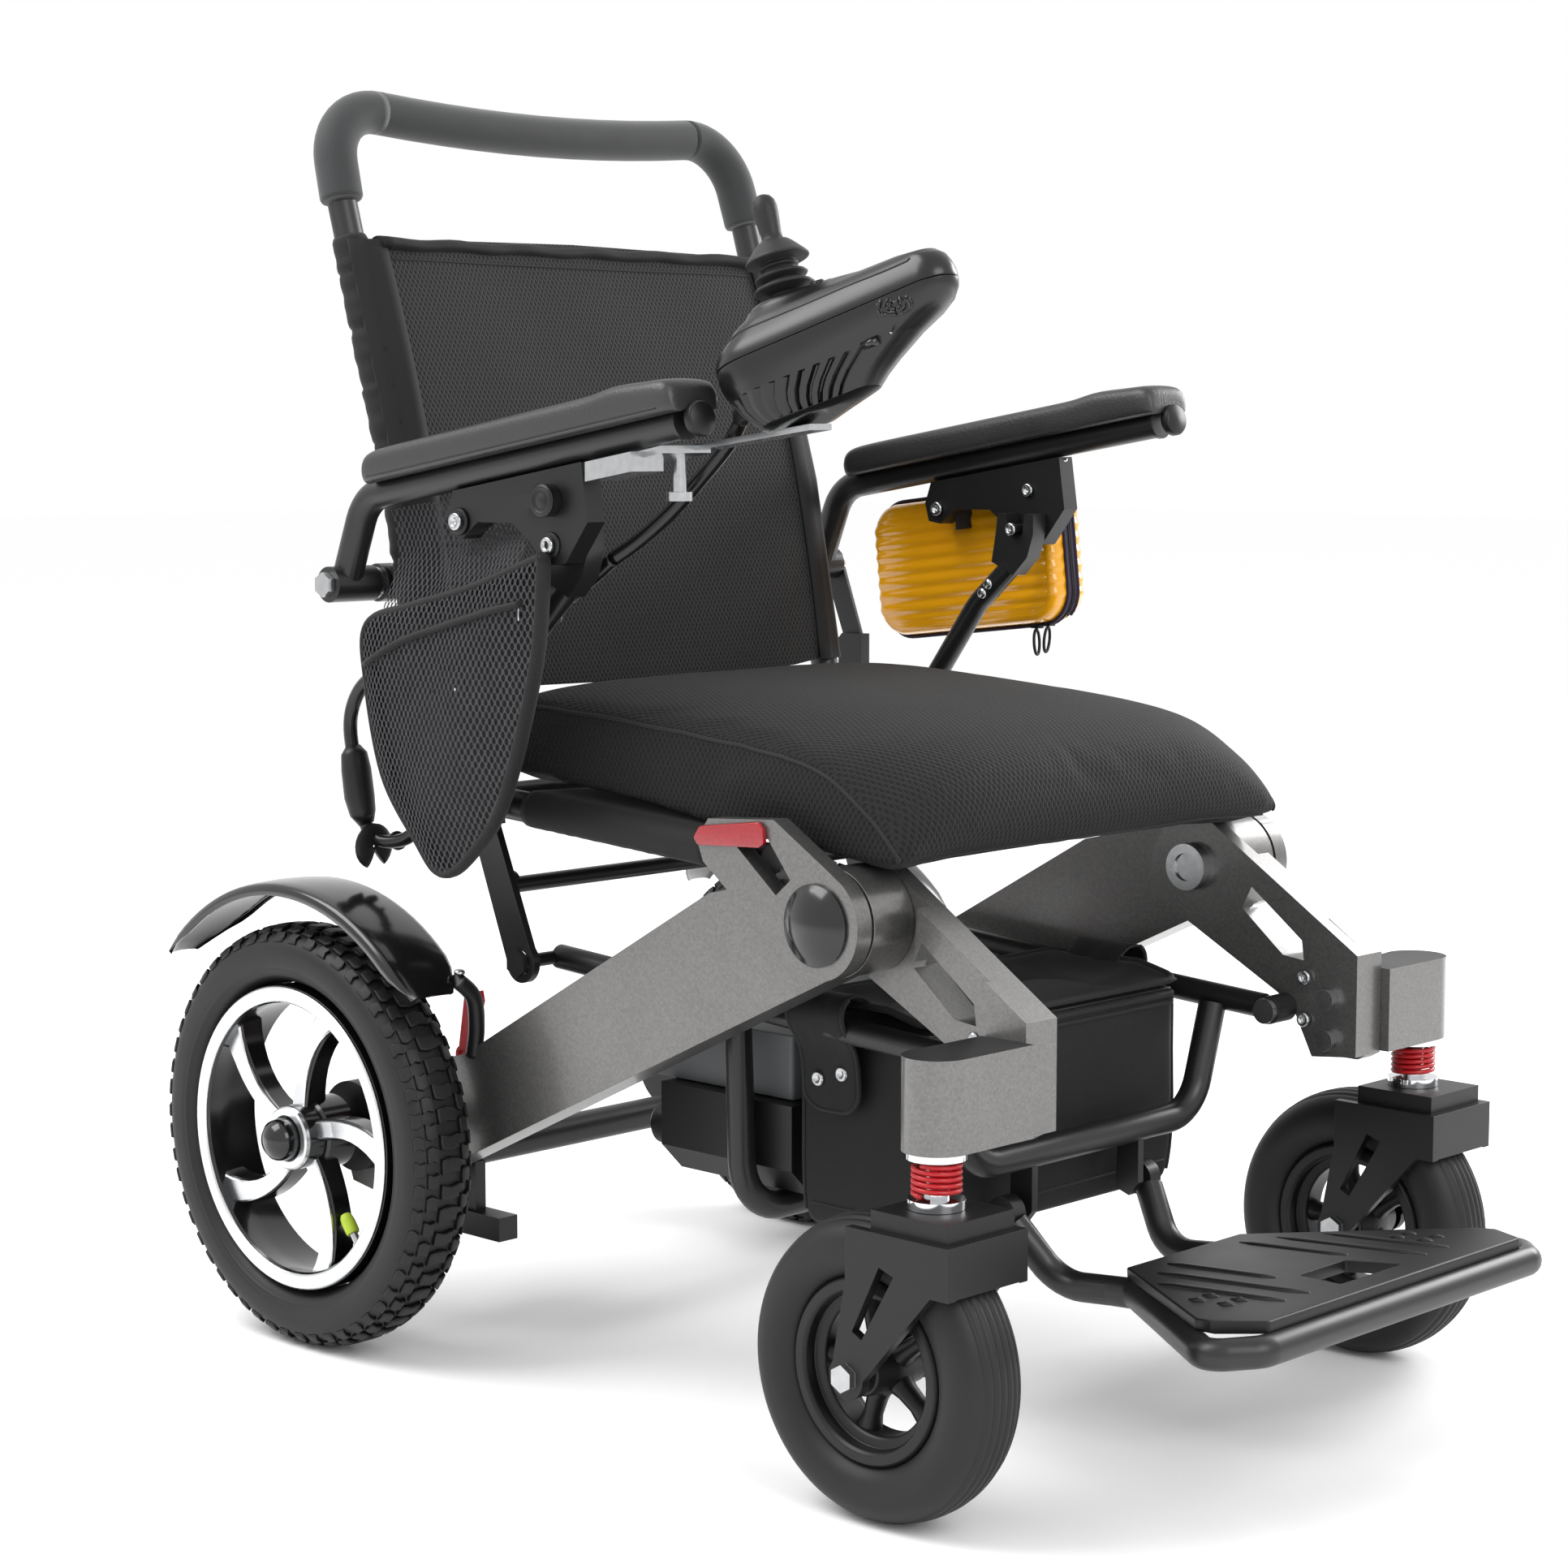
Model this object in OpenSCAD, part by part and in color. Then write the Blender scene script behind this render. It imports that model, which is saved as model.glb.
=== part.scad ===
// Folding power wheelchair. The chair faces -Y, its own left side is +X and +Z is up.
// The origin is on the floor, under the middle of the chair. Outlines drawn as [y, z] are
// side views; a left half is drawn first and mirrored for the right.

/* [Wheels] */
// Radius of the rear tyres
rear_tyre_r = 158; // [155:1:160]
// Width of the rear tyres
rear_tyre_w = 57; // [52:1:57]
// Radius of the caster tyres
caster_tyre_r = 98; // [95:1:98]
// Width of the caster tyres
caster_tyre_w = 54; // [46:1:54]

/* [Stance] */
// Distance from the middle plane of the chair to the middle of a wheel
half_track = 262; // [262:1:266]
// Distance of the rear axle behind the origin
rear_axle_y = 315; // [313:1:317]
// Distance of the caster stems in front of the origin
stem_front = 298; // [297:1:299]
// Distance of the caster axle behind its stem
trail = 41; // [40:1:42]

/* [Frame] */
// Radius of the seat rails and the tubes of the backrest
rail_r = 11; // [10:0.5:11]
// Radius of the main hinge pins through the side frames
hub_pin_r = 10; // [9:0.5:10]
// Wall around a bolt's eye
eye_wall = 4; // [3:0.5:4]

/* [Seat] */
// Half the width of the cushion
cushion_half_w = 212; // [205:1:212]
// Slope of the seat, rising towards the back
seat_slope = 3.6; // [3.4:0.1:3.8]

/* [Arms] */
// Width of an arm pad
pad_w = 50; // [44:1:50]
// Thickness of an arm pad above its tube's middle
pad_h = 31; // [28:1:32]

/* [Hidden] */
$fn = 64;

run_gap = 0.05;                      // radial clearance of a pin in its bore

// Joint centres, as [y, z]
hub = [-169, 362];                   // main pivot between the front legs and the side beams
seat_hinge = [-75, 398];             // front legs to seat rails
tray_hinge = [-253, 269];            // front legs to the tray under the seat
tray_rear = [164, 295];              // rear end of the tray, where the fold links meet it
link_hinge = [208, 402];             // fold links to seat rails
back_hinge = [230, 440];             // backrest to seat rails
arm_hinge = [284, 566];              // arms to backrest
post_hinge = [165, 430];             // arm posts to seat rails
post_top = [52, 600];                // arm posts to the brackets under the arms
rear_axle = [rear_axle_y, rear_tyre_r];
caster_axle = [trail - stem_front, caster_tyre_r];
foot_hinge = [-197, 152];            // footrest to the tray's front loop
rail_x = 207;
back_x = 210;
arm_x = 250;
post_x = 233;
tray_x = 152;
stem_x = half_track - 1;
bracket_top = 300;
bracket_low = 241;
seat_rear_u = 300;
drum_r = 36;
plate_tilt = 4.3;                    // the footplate rises towards its front edge

// ---------- helpers ----------
module side(s) { mirror([s < 0 ? 1 : 0, 0, 0]) children(); }
module both() { children(); mirror([1, 0, 0]) children(); }
// a side-view outline, as thick as from x0 to x1
module slab(x0, x1) { translate([x0, 0, 0]) rotate([90, 0, 90]) linear_extrude(x1 - x0) children(); }
// a round bar across the chair, centred on a [y, z] point
module bar(x0, x1, p, r) { translate([x0, p[0], p[1]]) rotate([0, 90, 0]) cylinder(h = x1 - x0, r = r); }
module hex_bar(x0, x1, p, r) {
    translate([x0, p[0], p[1]]) rotate([0, 90, 0]) cylinder(h = x1 - x0, r = r, $fn = 6);
}
// a flat dome across the chair, bulging towards +X from x0
module dome(x0, p, r, h) {
    ball = (r * r + h * h) / (2 * h);
    translate([x0, p[0], p[1]]) rotate([0, 90, 0]) intersection() {
        translate([0, 0, h - ball]) sphere(r = ball);
        cylinder(h = h + 1, r = r);
    }
}
function unit(v) = v / norm(v);
function turn(a, b, c) = acos(max(-1, min(1, unit(b - a) * unit(c - b))));
function cut(p, i, bend) = i <= 0 || i >= len(p) - 1 ? 0 : bend * tan(turn(p[i - 1], p[i], p[i + 1]) / 2);
module rod(a, b, r) {
    d = b - a;
    translate(a) rotate([0, acos(d[2] / norm(d)), atan2(d[1], d[0])]) cylinder(h = norm(d), r = r);
}
// corner i of a bent tube's route, rounded to the bend radius in steps of about 9 degrees
function corner(p, i, bend) =
    let (d = unit(p[i] - p[i - 1]), e = unit(p[i + 1] - p[i]), n = unit(e - d * (e * d)),
        a = turn(p[i - 1], p[i], p[i + 1]), s = p[i] - d * cut(p, i, bend), m = max(1, ceil(a / 9)))
    [for (k = [0 : m]) s + bend * (n * (1 - cos(a * k / m)) + d * sin(a * k / m))];
function bent(p, bend) = [p[0], for (i = [1 : 1 : len(p) - 2]) each corner(p, i, bend), p[len(p) - 1]];
// a bent tube through the corner points p; ref is a direction that the tube never runs along
module tube_run(p, r, bend, ref = [1, 0, 0], n = 20) { swept(bent(p, bend), r, n, ref); }
// a rounded rectangle centred on the origin
module round_rect(w, h, r) {
    square([w - 2 * r, h], center = true);
    square([w, h - 2 * r], center = true);
    for (x = [-1, 1], y = [-1, 1]) translate([x * (w / 2 - r), y * (h / 2 - r)]) circle(r = r);
}
// a superellipse's outline with its inner side cut flat at radius r0
function tyre_outline(rc, hr, hw, r0, pow_n = 2.6) = [
    for (a = [0 : 12 : 348])
        let (c = cos(a), s = sin(a))
        [max(r0, rc + hr * sign(c) * pow(abs(c), 2 / pow_n)), hw * sign(s) * pow(abs(s), 2 / pow_n)]
];
// a tube of n sides swept along points, as one closed skin
module swept(p, r, n, ref) {
    dirs = [for (i = [0 : len(p) - 1]) unit(p[min(i + 1, len(p) - 1)] - p[max(i - 1, 0)])];
    rings = [for (i = [0 : len(p) - 1])
        let (d = dirs[i], u = unit(cross(d, ref)), v = cross(d, u))
        for (k = [0 : n - 1]) p[i] + r * (cos(360 * k / n) * u + sin(360 * k / n) * v)];
    sides = [for (i = [0 : len(p) - 2], k = [0 : n - 1])
        let (a = i * n + k, b = i * n + (k + 1) % n)
        each [[a, b + n, b], [a, a + n, b + n]]];
    first = [for (k = [0 : n - 1]) k];
    last = [for (k = [n - 1 : -1 : 0]) (len(p) - 1) * n + k];
    polyhedron(points = rings, faces = concat(sides, [first, last]));
}
// points of a smooth curve through hand-picked points, m steps to a span
function spline(p, m) = [
    for (i = [0 : len(p) - 2], k = [0 : m - 1])
        let (t = k / m, a = p[max(i - 1, 0)], b = p[i], c = p[i + 1], d = p[min(i + 2, len(p) - 1)])
        0.5 * (2 * b + (c - a) * t + (2 * a - 5 * b + 4 * c - d) * t * t
            + (3 * b - a - 3 * c + d) * t * t * t),
    p[len(p) - 1]
];

// ---------- seat ----------
// Seat axes: u runs back along the rails from the front hinge, w stands square to them.
module on_seat() { translate([0, seat_hinge[0], seat_hinge[1]]) rotate([seat_slope, 0, 0]) children(); }

module seat_frame() {
    color("dimgray") {
        both() {
            on_seat() rod([rail_x, -30, 0], [rail_x, seat_rear_u, 0], rail_r);
            // stub that the front leg turns on
            bar(rail_x, 226, seat_hinge, 6);
            // upright ear for the backrest hinge, with its pin
            slab(192, 198) polygon([[212, 408], [248, 412], [244, 440], [236, 452], [224, 452], [216, 440]]);
            bar(187, 222, back_hinge, 5);
            // ear for the arm post's hinge, with its pin
            slab(217.5, 223) polygon([[148, 400], [182, 402], [178, 430], [170, 440], [160, 440],
                [152, 430]]);
            bar(217.5, 243, post_hinge, 5);
            // ear for the fold link's hinge, with its pin
            slab(196, 202) polygon([[192, 414], [224, 416], [218, 392], [198, 392]]);
            bar(182, 202, link_hinge, 5);
        }
        for (u = [-18, 262]) on_seat() bar(-rail_x, rail_x, [u, 0], 9);
    }
}

module seat_sling() {
    color([0.1, 0.1, 0.1]) {
        on_seat() translate([-198, 22, 11.4]) cube([396, 183, 1.6]);
        both() on_seat() difference() {
            rod([rail_x, 22, 0], [rail_x, 205, 0], rail_r + 1.8);
            rod([rail_x, 0, 0], [rail_x, 300, 0], rail_r);
        }
    }
}

module seat_cushion() {
    color([0.07, 0.07, 0.07])
    slab(-cushion_half_w, cushion_half_w)
        polygon([[-205, 404], [-224, 408], [-233, 424], [-228, 444], [-206, 464], [-170, 474],
            [-90, 482], [20, 491], [110, 497], [160, 497], [174, 488], [178, 472], [178, 430], [40, 421]]);
}

// ---------- front legs ----------
module leg() {
    difference() {
        union() {
            // outer plate with the upper arm
            slab(218.4, 232) {
                translate(hub) circle(r = 36);
                polygon([[-192, 390], [-176, 400], [-131, 427], [-71, 423], [-60, 409],
                    [-66, 394], [-146, 334]]);
            }
            // inner disc around the hub
            bar(165, 177.7, hub, 37);
            // lower arm
            slab(165, 177.7) polygon([[-186, 395], [-313, 312], [-313, 240], [-276, 236],
                [-258, 272], [-148, 331]]);
            // heavier lower part of the arm and end plate, clear of the drum
            slab(177.6, 190) polygon([[-218, 374], [-313, 312], [-313, 262], [-290, 254], [-214, 318]]);
            slab(177.6, 195) polygon([[-280, 290], [-280, 334], [-313, 312], [-313, 240],
                [-306, 236], [-276, 236]]);
        }
        // window of the upper arm
        slab(210, 240) polygon([[-126, 414], [-92, 411], [-133, 378], [-146, 389]]);
        // long window of the lower arm
        slab(160, 200) polygon([[-222, 352], [-266, 318], [-268, 304], [-250, 306], [-214, 336]]);
        bar(160, 240, hub, hub_pin_r);
        bar(210, 227, seat_hinge, 6 + run_gap);
        bar(160, 200, tray_hinge, 5);
        for (z = [279, 250]) bar(160, 200, [-290, z], 4);
    }
}
module front_leg_right() { color("slategray") side(-1) leg(); }
module front_leg_left() { color("slategray") side(1) leg(); }

module frame_bolts() {
    color("silver") both() {
        // main hinge pin with a nut inside and a domed cap outside
        bar(158, 236, hub, hub_pin_r);
        difference() {
            bar(156, 164.9, hub, 17);
            bar(155, 158, hub, hub_pin_r);
        }
        bar(232.1, 234, hub, 27);
        dome(234, hub, 26.5, 8);
        // tray hinge pin
        bar(141, 176, tray_hinge, 5);
        bar(138, 143, tray_hinge, 9);
        // caster bracket bolts
        for (z = [279, 250]) {
            bar(158, 210, [-290, z], 4);
            bar(158, 164.9, [-290, z], 7.5);
        }
    }
}

module caster_brackets() {
    color("slategray") both() difference() {
        union() {
            translate([195.3, -320, bracket_low]) cube([stem_x - 195.3, 43, bracket_top - bracket_low]);
            translate([stem_x, -stem_front, bracket_low]) cylinder(h = bracket_top - bracket_low, r = 22);
            // chrome seat of the spring
            translate([stem_x, -stem_front, bracket_low - 5]) cylinder(h = 5.5, r = 19);
        }
        translate([stem_x, -stem_front, bracket_low - 6]) cylinder(h = 62, r = 8 + run_gap);
        for (z = [279, 250]) bar(190, 210, [-290, z], 4);
    }
}

module reflectors() {
    color("red") both()
        slab(232.1, 235.5) polygon([[-124, 421], [-125, 411], [-120, 408], [-64, 405], [-60, 410],
            [-66, 418], [-119, 425]]);
}

// ---------- side beams and rear end ----------
module side_beams() {
    color("slategray") both() difference() {
        union() {
            bar(178, 216, hub, drum_r);
            slab(184, 215) polygon([[-175, 397], [-112, 384], [-54, 370], [198, 227], [318, 190], [345, 150],
                [330, 112], [290, 106], [186, 156], [-158, 321], [-195, 340]]);
        }
        bar(170, 220, hub, hub_pin_r + run_gap);
        bar(170, 220, rear_axle, 20);
    }
}

module rear_crossframe() {
    color([0.1, 0.1, 0.1]) {
        bar(-184, 184, [250, 140], 12);
        both() {
            // square anti-tip socket with its end plugs, hung from the cross tube
            translate([160, 205, 79]) cube([18, 128, 18]);
            slab(164, 174) polygon([[236, 96], [262, 96], [262, 134], [236, 134]]);
        }
    }
}

module drive_motors() {
    color([0.14, 0.14, 0.15]) both() difference() {
        union() {
            bar(104, 183.9, rear_axle, 38);
            bar(100, 104, rear_axle, 30);
            bar(183, 216, rear_axle, 20);
            bar(215.1, 228, rear_axle, 34);
        }
        bar(196, 240, rear_axle, 8.5 + run_gap);
    }
}

module fenders() {
    color([0.05, 0.05, 0.05]) both() {
        translate([0, rear_axle[0], rear_axle[1]]) rotate([0, 90, 0]) rotate([0, 0, 131]) {
            rotate_extrude(angle = 99) {
                translate([188, 233]) square([3, 60]);
                translate([180, 290.5]) square([10, 2.5]);
            }
        }
        rod([212, 190, 233], [236, 176, 291], 6);
    }
}

// ---------- wheels, each on its own axle ----------
module on_axle(p) { translate([0, p[0], p[1]]) rotate([0, 90, 0]) children(); }

module rear_tyre() {
    on_axle(rear_axle) translate([0, 0, half_track])
        rotate_extrude($fn = 128) polygon(tyre_outline(rear_tyre_r - 24, 24, rear_tyre_w / 2, 113));
}
module rear_tyre_right() { color([0.12, 0.12, 0.12]) side(-1) rear_tyre(); }
module rear_tyre_left() { color([0.12, 0.12, 0.12]) side(1) rear_tyre(); }

// rim with swept spokes, hub, cap and the stub axle that the motor turns
module rear_rim() {
    on_axle(rear_axle) {
        translate([0, 0, half_track]) difference() {
            cylinder(h = 46, r = 113, center = true, $fn = 128);
            cylinder(h = 50, r = 103, center = true, $fn = 128);
        }
        for (k = [0 : 4]) rotate([0, 0, 72 * k]) translate([0, 0, 262])
            linear_extrude(16) polygon([[14, -13], [60, -16], [104, -8], [104, 12], [60, 2], [14, 13]]);
        translate([0, 0, 236]) cylinder(h = 52, r = 24);
        translate([0, 0, 288]) cylinder(h = 8, r = 17);
        translate([0, 0, 199]) cylinder(h = 40, r = 8.5);
    }
    dome(296, rear_axle, 15, 10);
}
module rear_rim_right() { color("silver") side(-1) rear_rim(); }
module rear_rim_left() { color("silver") side(1) rear_rim(); }

// red disengaging lever on the inner end of each motor's gearbox
module clutch_lever() {
    difference() {
        union() {
            bar(176, 183, [240, 216], 7);
            slab(176, 183) polygon([[236, 216], [244, 216], [236, 262], [222, 266], [220, 258]]);
        }
        bar(170, 190, [240, 216], 3 + run_gap);
    }
}
module clutch_lever_right() { color("red") side(-1) clutch_lever(); }
module clutch_lever_left() { color("red") side(1) clutch_lever(); }

// ---------- fold links and tray ----------
module fold_links() {
    color([0.12, 0.12, 0.12]) {
        both() difference() {
            union() {
                slab(185, 191) {
                    translate(link_hinge) circle(r = 13);
                    translate(tray_rear) circle(r = 15);
                    polygon([[197, 408], [219, 396], [176, 288], [152, 302]]);
                }
                // coil spring that helps the fold along
                bar(174, 185.5, [190, 350], 8);
            }
            bar(170, 200, link_hinge, 5 + run_gap);
            bar(170, 200, tray_rear, 9);
        }
        bar(-185.5, 185.5, [186, 348], 6);
    }
}

module tray_frame() {
    color([0.12, 0.12, 0.12]) {
        both() {
            difference() {
                bar(143.3, 164.7, tray_hinge, 5 + eye_wall + 1);
                bar(140, 170, tray_hinge, 5 + run_gap);
            }
            // fore-aft tube and the bolt at its rear end
            rod([tray_x, tray_hinge[0] + 9, tray_hinge[1] + 1], [tray_x, tray_rear[0], tray_rear[1]], 9);
            bar(tray_x, 194, tray_rear, 5);
            hex_bar(191.5, 196, tray_rear, 10.5);
        }
        // front loop, which carries the footrest, and rear loop under the battery
        tube_run([[146, -203, 268], [122, -203, 191], [-122, -203, 191],
            [-146, -203, 268]], 10, 36, [0, 1, 0]);
        tube_run([[146, -12, 280], [146, -18, 134], [-146, -18, 134], [-146, -12, 280]], 10, 36, [0, 1, 0]);
        // struts from the front loop down to the footrest hinge
        both() slab(55, 61) polygon([[-208, 190], [-190, 190], [-188, 146], [-200, 142], [-208, 152]]);
        both() bar(55, 84, foot_hinge, 4);
    }
}

module battery_pack() {
    color([0.08, 0.08, 0.08]) {
        translate([0, 78, 0]) rotate([90, 0, 0]) linear_extrude(130)
            polygon([[-133, 166], [-113, 146], [113, 146], [133, 166], [133, 212], [-133, 212]]);
        // round charging plug on the rear face
        translate([-96, 78, 172]) rotate([-90, 0, 0]) cylinder(h = 34, r = 15);
    }
}

module controller_box() {
    color("gray") translate([-120, -40, 212.3]) cube([240, 170, 46]);
}

module storage_bag() {
    color([0.1, 0.1, 0.1]) slab(-138, 138)
        polygon([[-181, 150], [-172, 138], [-76, 132], [-62, 140], [-62, 262], [-72, 290],
            [-150, 296], [-181, 284]]);
}

// ---------- footrest ----------
module footrest_tube() {
    color([0.1, 0.1, 0.1]) {
        // hangers with eyes at the hinge
        both() difference() {
            union() {
                bar(68.4, 80, foot_hinge, 12);
                tube_run([[74, -203, 146], [60, -232, 106], [62, -290, 112]], 10, 34);
            }
            bar(50, 90, foot_hinge, 4 + run_gap);
        }
        // loop round the plate
        tube_run([[62, -280, 111], [64, -300, 113], [176, -440, 123], [150, -463, 125], [-150, -463, 125],
            [-176, -440, 123], [-64, -300, 113], [-62, -280, 111]], 10, 14, [0, 0, 1]);
    }
}

module footrest_plate() {
    color([0.13, 0.13, 0.13]) translate([0, -290, 125]) rotate([-plate_tilt, 0, 0]) difference() {
        translate([0, 0, -4]) linear_extrude(8)
            polygon([[-62, 0], [62, 0], [158, -128], [160, -142],
                [142, -172], [-142, -172], [-160, -142], [-158, -128]]);
        // hand-hold cut near the front edge
        translate([0, 0, -5]) linear_extrude(10) polygon([[-34, -150], [34, -150], [26, -112], [-26, -112]]);
    }
}

// ---------- casters ----------
module at_stem() { translate([stem_x, -stem_front, 0]) children(); }

module caster_stem() {
    at_stem() {
        translate([0, 0, 196]) cylinder(h = 88, r = 8);
        translate([0, 0, 205.3]) cylinder(h = 6, r = 18);
    }
}
module caster_stem_right() { color("silver") side(-1) caster_stem(); }
module caster_stem_left() { color("silver") side(1) caster_stem(); }

module caster_spring() {
    turns = 5;
    at_stem() swept([for (a = [0 : 24 : 360 * turns])
        [14.5 * cos(a), 14.5 * sin(a), 214 + 19.4 * a / (360 * turns)]], 2, 8, [0, 0, 1]);
}
module caster_spring_right() { color("red") side(-1) caster_spring(); }
module caster_spring_left() { color("red") side(1) caster_spring(); }

module caster_fork() {
    inner = caster_tyre_w / 2 + 3;
    outer = inner + 7;
    difference() {
        union() {
            translate([stem_x - outer, -340, 160]) cube([2 * outer, 84, 33]);
            translate([stem_x - outer + 6, -334, 192]) cube([2 * outer - 12, 62, 13]);
            slab(stem_x - outer, stem_x + outer) {
                polygon([[-336, 172], [-262, 190], [caster_axle[0] + 12, caster_axle[1] + 4],
                    [caster_axle[0] - 6, caster_axle[1] - 12], [caster_axle[0] - 14, caster_axle[1]]]);
                translate(caster_axle) circle(r = 14);
            }
        }
        // room for the wheel, its turning circle and the axle's end faces
        bar(stem_x - inner, stem_x + inner, caster_axle, caster_tyre_r + 6);
        bar(stem_x - outer - 1, stem_x + outer + 1, caster_axle, 5);
        slab(stem_x - outer - 1, stem_x + outer + 1) polygon([[-296, 168], [-284, 172],
            [-262, 128], [-270, 124]]);
        at_stem() translate([0, 0, 180]) cylinder(h = 30, r = 8 + run_gap);
    }
    // axle bolt with its head and nut
    bar(stem_x - outer - 4, stem_x + outer + 4, caster_axle, 5);
    for (x = [stem_x - outer - 5, stem_x + outer]) hex_bar(x, x + 5, caster_axle, 9);
}
module caster_fork_right() { color([0.08, 0.08, 0.08]) side(-1) caster_fork(); }
module caster_fork_left() { color([0.08, 0.08, 0.08]) side(1) caster_fork(); }

module caster_tyre() {
    on_axle(caster_axle) translate([0, 0, stem_x])
        rotate_extrude($fn = 96) polygon(tyre_outline(caster_tyre_r - 21, 21, caster_tyre_w / 2, 60));
}
module caster_tyre_right() { color([0.12, 0.12, 0.12]) side(-1) caster_tyre(); }
module caster_tyre_left() { color([0.12, 0.12, 0.12]) side(1) caster_tyre(); }

module caster_rim() {
    on_axle(caster_axle) translate([0, 0, stem_x]) difference() {
        union() {
            difference() {
                cylinder(h = 38, r = 60, center = true, $fn = 96);
                cylinder(h = 50, r = 53, center = true, $fn = 96);
            }
            for (k = [0 : 4]) rotate([0, 0, 72 * k]) translate([10, -5, -12]) cube([45, 10, 24]);
            cylinder(h = caster_tyre_w - 4, r = 15, center = true);
        }
        cylinder(h = 80, r = 5 + run_gap, center = true);
    }
}
module caster_rim_right() { color([0.1, 0.1, 0.1]) side(-1) caster_rim(); }
module caster_rim_left() { color([0.1, 0.1, 0.1]) side(1) caster_rim(); }

// ---------- backrest ----------
back_line = [[230, 440], [242, 491], [270, 637], [332, 842]];
module backrest_frame() {
    color([0.1, 0.1, 0.1]) difference() {
        union() {
            both() {
                tube_run([for (q = back_line) [back_x, q[0], q[1]]], rail_r, 120);
                bar(198.4, 221.6, back_hinge, 13);
                bar(208, 221.6, arm_hinge, 14);
                slab(206, 217) polygon([[254, 556], [254, 578], [286, 579], [286, 553]]);
            }
            bar(-back_x, back_x, [237, 470], 8);
        }
        both() {
            bar(190, 230, back_hinge, 5 + run_gap);
            bar(205, 230, arm_hinge, 7 + run_gap);
        }
    }
}

module backrest_sling() {
    // thickness 9, from the front face of the tubes
    color([0.08, 0.08, 0.08]) {
        slab(-198.5, 198.5) polygon([[236, 484], [262, 636], [317, 819], [308, 821], [251, 638],
            [224, 486]]);
        both() difference() {
            tube_run([for (q = [[243, 496], [270, 637],
                [324.5, 817]]) [back_x, q[0], q[1]]], rail_r + 2, 120);
            bar(190, 240, arm_hinge, 16);
        }
    }
}

module push_grip() {
    color([0.15, 0.15, 0.15])
        tube_run([[back_x, 332.5, 844], [back_x - 4, 354, 917], [0, 350, 905],
            [4 - back_x, 354, 917], [-back_x, 332.5, 844]], 16, 44, [0, 1, 0]);
}

// ---------- arms ----------
arm_front = [-68, 682];
arm_bend = [258, 630];
arm_slope = atan2(arm_front[1] - arm_bend[1], arm_bend[0] - arm_front[0]);

// arm axes: u runs back along the tube from its front end, w stands square to it
module on_arm() { translate([arm_x, arm_front[0], arm_front[1]]) rotate([-arm_slope, 0, 0]) children(); }

module arm_pivot() {
    bar(212.5, 268, arm_hinge, 7);
    bar(222, 226, arm_hinge, 12);
    hex_bar(266.3, 272, arm_hinge, 9);
}
module arm_pivot_right() { color("silver") side(-1) arm_pivot(); }
// the left pivot also carries a hanging strap clip
module arm_pivot_left() {
    color("silver") {
        arm_pivot();
        slab(266.4, 269.4) {
            translate(arm_hinge) circle(r = 11);
            polygon([[273, 563], [252, 506], [270, 500], [295, 563]]);
        }
        slab(262, 272) polygon([[248, 508], [248, 482], [252, 478], [270, 478], [274, 482], [274, 504], [270, 508]]);
    }
}

module arm_tube() {
    difference() {
        union() {
            tube_run([for (q = [arm_front, arm_bend, arm_hinge]) [arm_x, q[0], q[1]]], 11, 34);
            bar(226.4, 266, arm_hinge, 13);
        }
        bar(220, 270, arm_hinge, 7 + run_gap);
    }
    on_arm() translate([0, -2.5, 0]) rotate([-90, 0, 0]) cylinder(h = 3, r = 12);
}
module arm_tube_right() { color([0.08, 0.08, 0.08]) side(-1) arm_tube(); }
module arm_tube_left() { color([0.08, 0.08, 0.08]) side(1) arm_tube(); }

module arm_pad() {
    on_arm() difference() {
        translate([-pad_w / 2, 0, 0]) rotate([90, 0, 90]) linear_extrude(pad_w)
            polygon([[-6, 8], [-2, 5], [300, 5], [308, 12], [306, pad_h - 6], [296, pad_h - 2],
                [66, pad_h - 2], [40, pad_h], [8, pad_h - 3], [-4, pad_h - 3], [-12, pad_h - 9], [-12, 14]]);
        translate([0, -20, 0]) rotate([-90, 0, 0]) cylinder(h = 340, r = 12.2);
    }
}
module arm_pad_right() { color([0.1, 0.1, 0.1]) side(-1) arm_pad(); }
module arm_pad_left() { color([0.1, 0.1, 0.1]) side(1) arm_pad(); }

// saddle bracket under the tube, two cheeks with a pin that sits in the post's notch
module arm_bracket() {
    difference() {
        union() {
            slab(242, 258)
                polygon([[22, 656], [16, 616], [38, 588], [60, 586], [72, 600], [92, 614],
                    [128, 614], [144, 602],
                    [156, 604], [160, 618], [154, 635]]);
            bar(222, 262, post_top, 4);
            bar(241.6, 260, [146, 614], 6);
        }
        bar(240, 262, [52, 630], 3 + run_gap);
    }
}
module arm_bracket_right() { color([0.09, 0.09, 0.09]) side(-1) arm_bracket(); }
module arm_bracket_left() { color([0.09, 0.09, 0.09]) side(1) arm_bracket(); }

// curved post with a notched head on top, open upwards
module arm_post() {
    difference() {
        union() {
            tube_run([[post_x, 60, 572], [post_x, 96, 540], [post_x, 140, 480],
                [post_x, 164, 434]], 8.5, 60);
            bar(226, 241.6, post_hinge, 13);
            slab(226, 241.6) polygon([[34, 612], [34, 596], [40, 578], [54, 564], [76, 574],
                [72, 596], [70, 612]]);
        }
        bar(220, 250, post_hinge, 5 + run_gap);
        bar(220, 250, post_top, 7.5);
        slab(220, 250) polygon([[44.5, 600], [59.5, 600], [62, 616], [42, 616]]);
    }
}
module arm_post_right() { color([0.08, 0.08, 0.08]) side(-1) arm_post(); }
module arm_post_left() { color([0.08, 0.08, 0.08]) side(1) arm_post(); }

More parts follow.
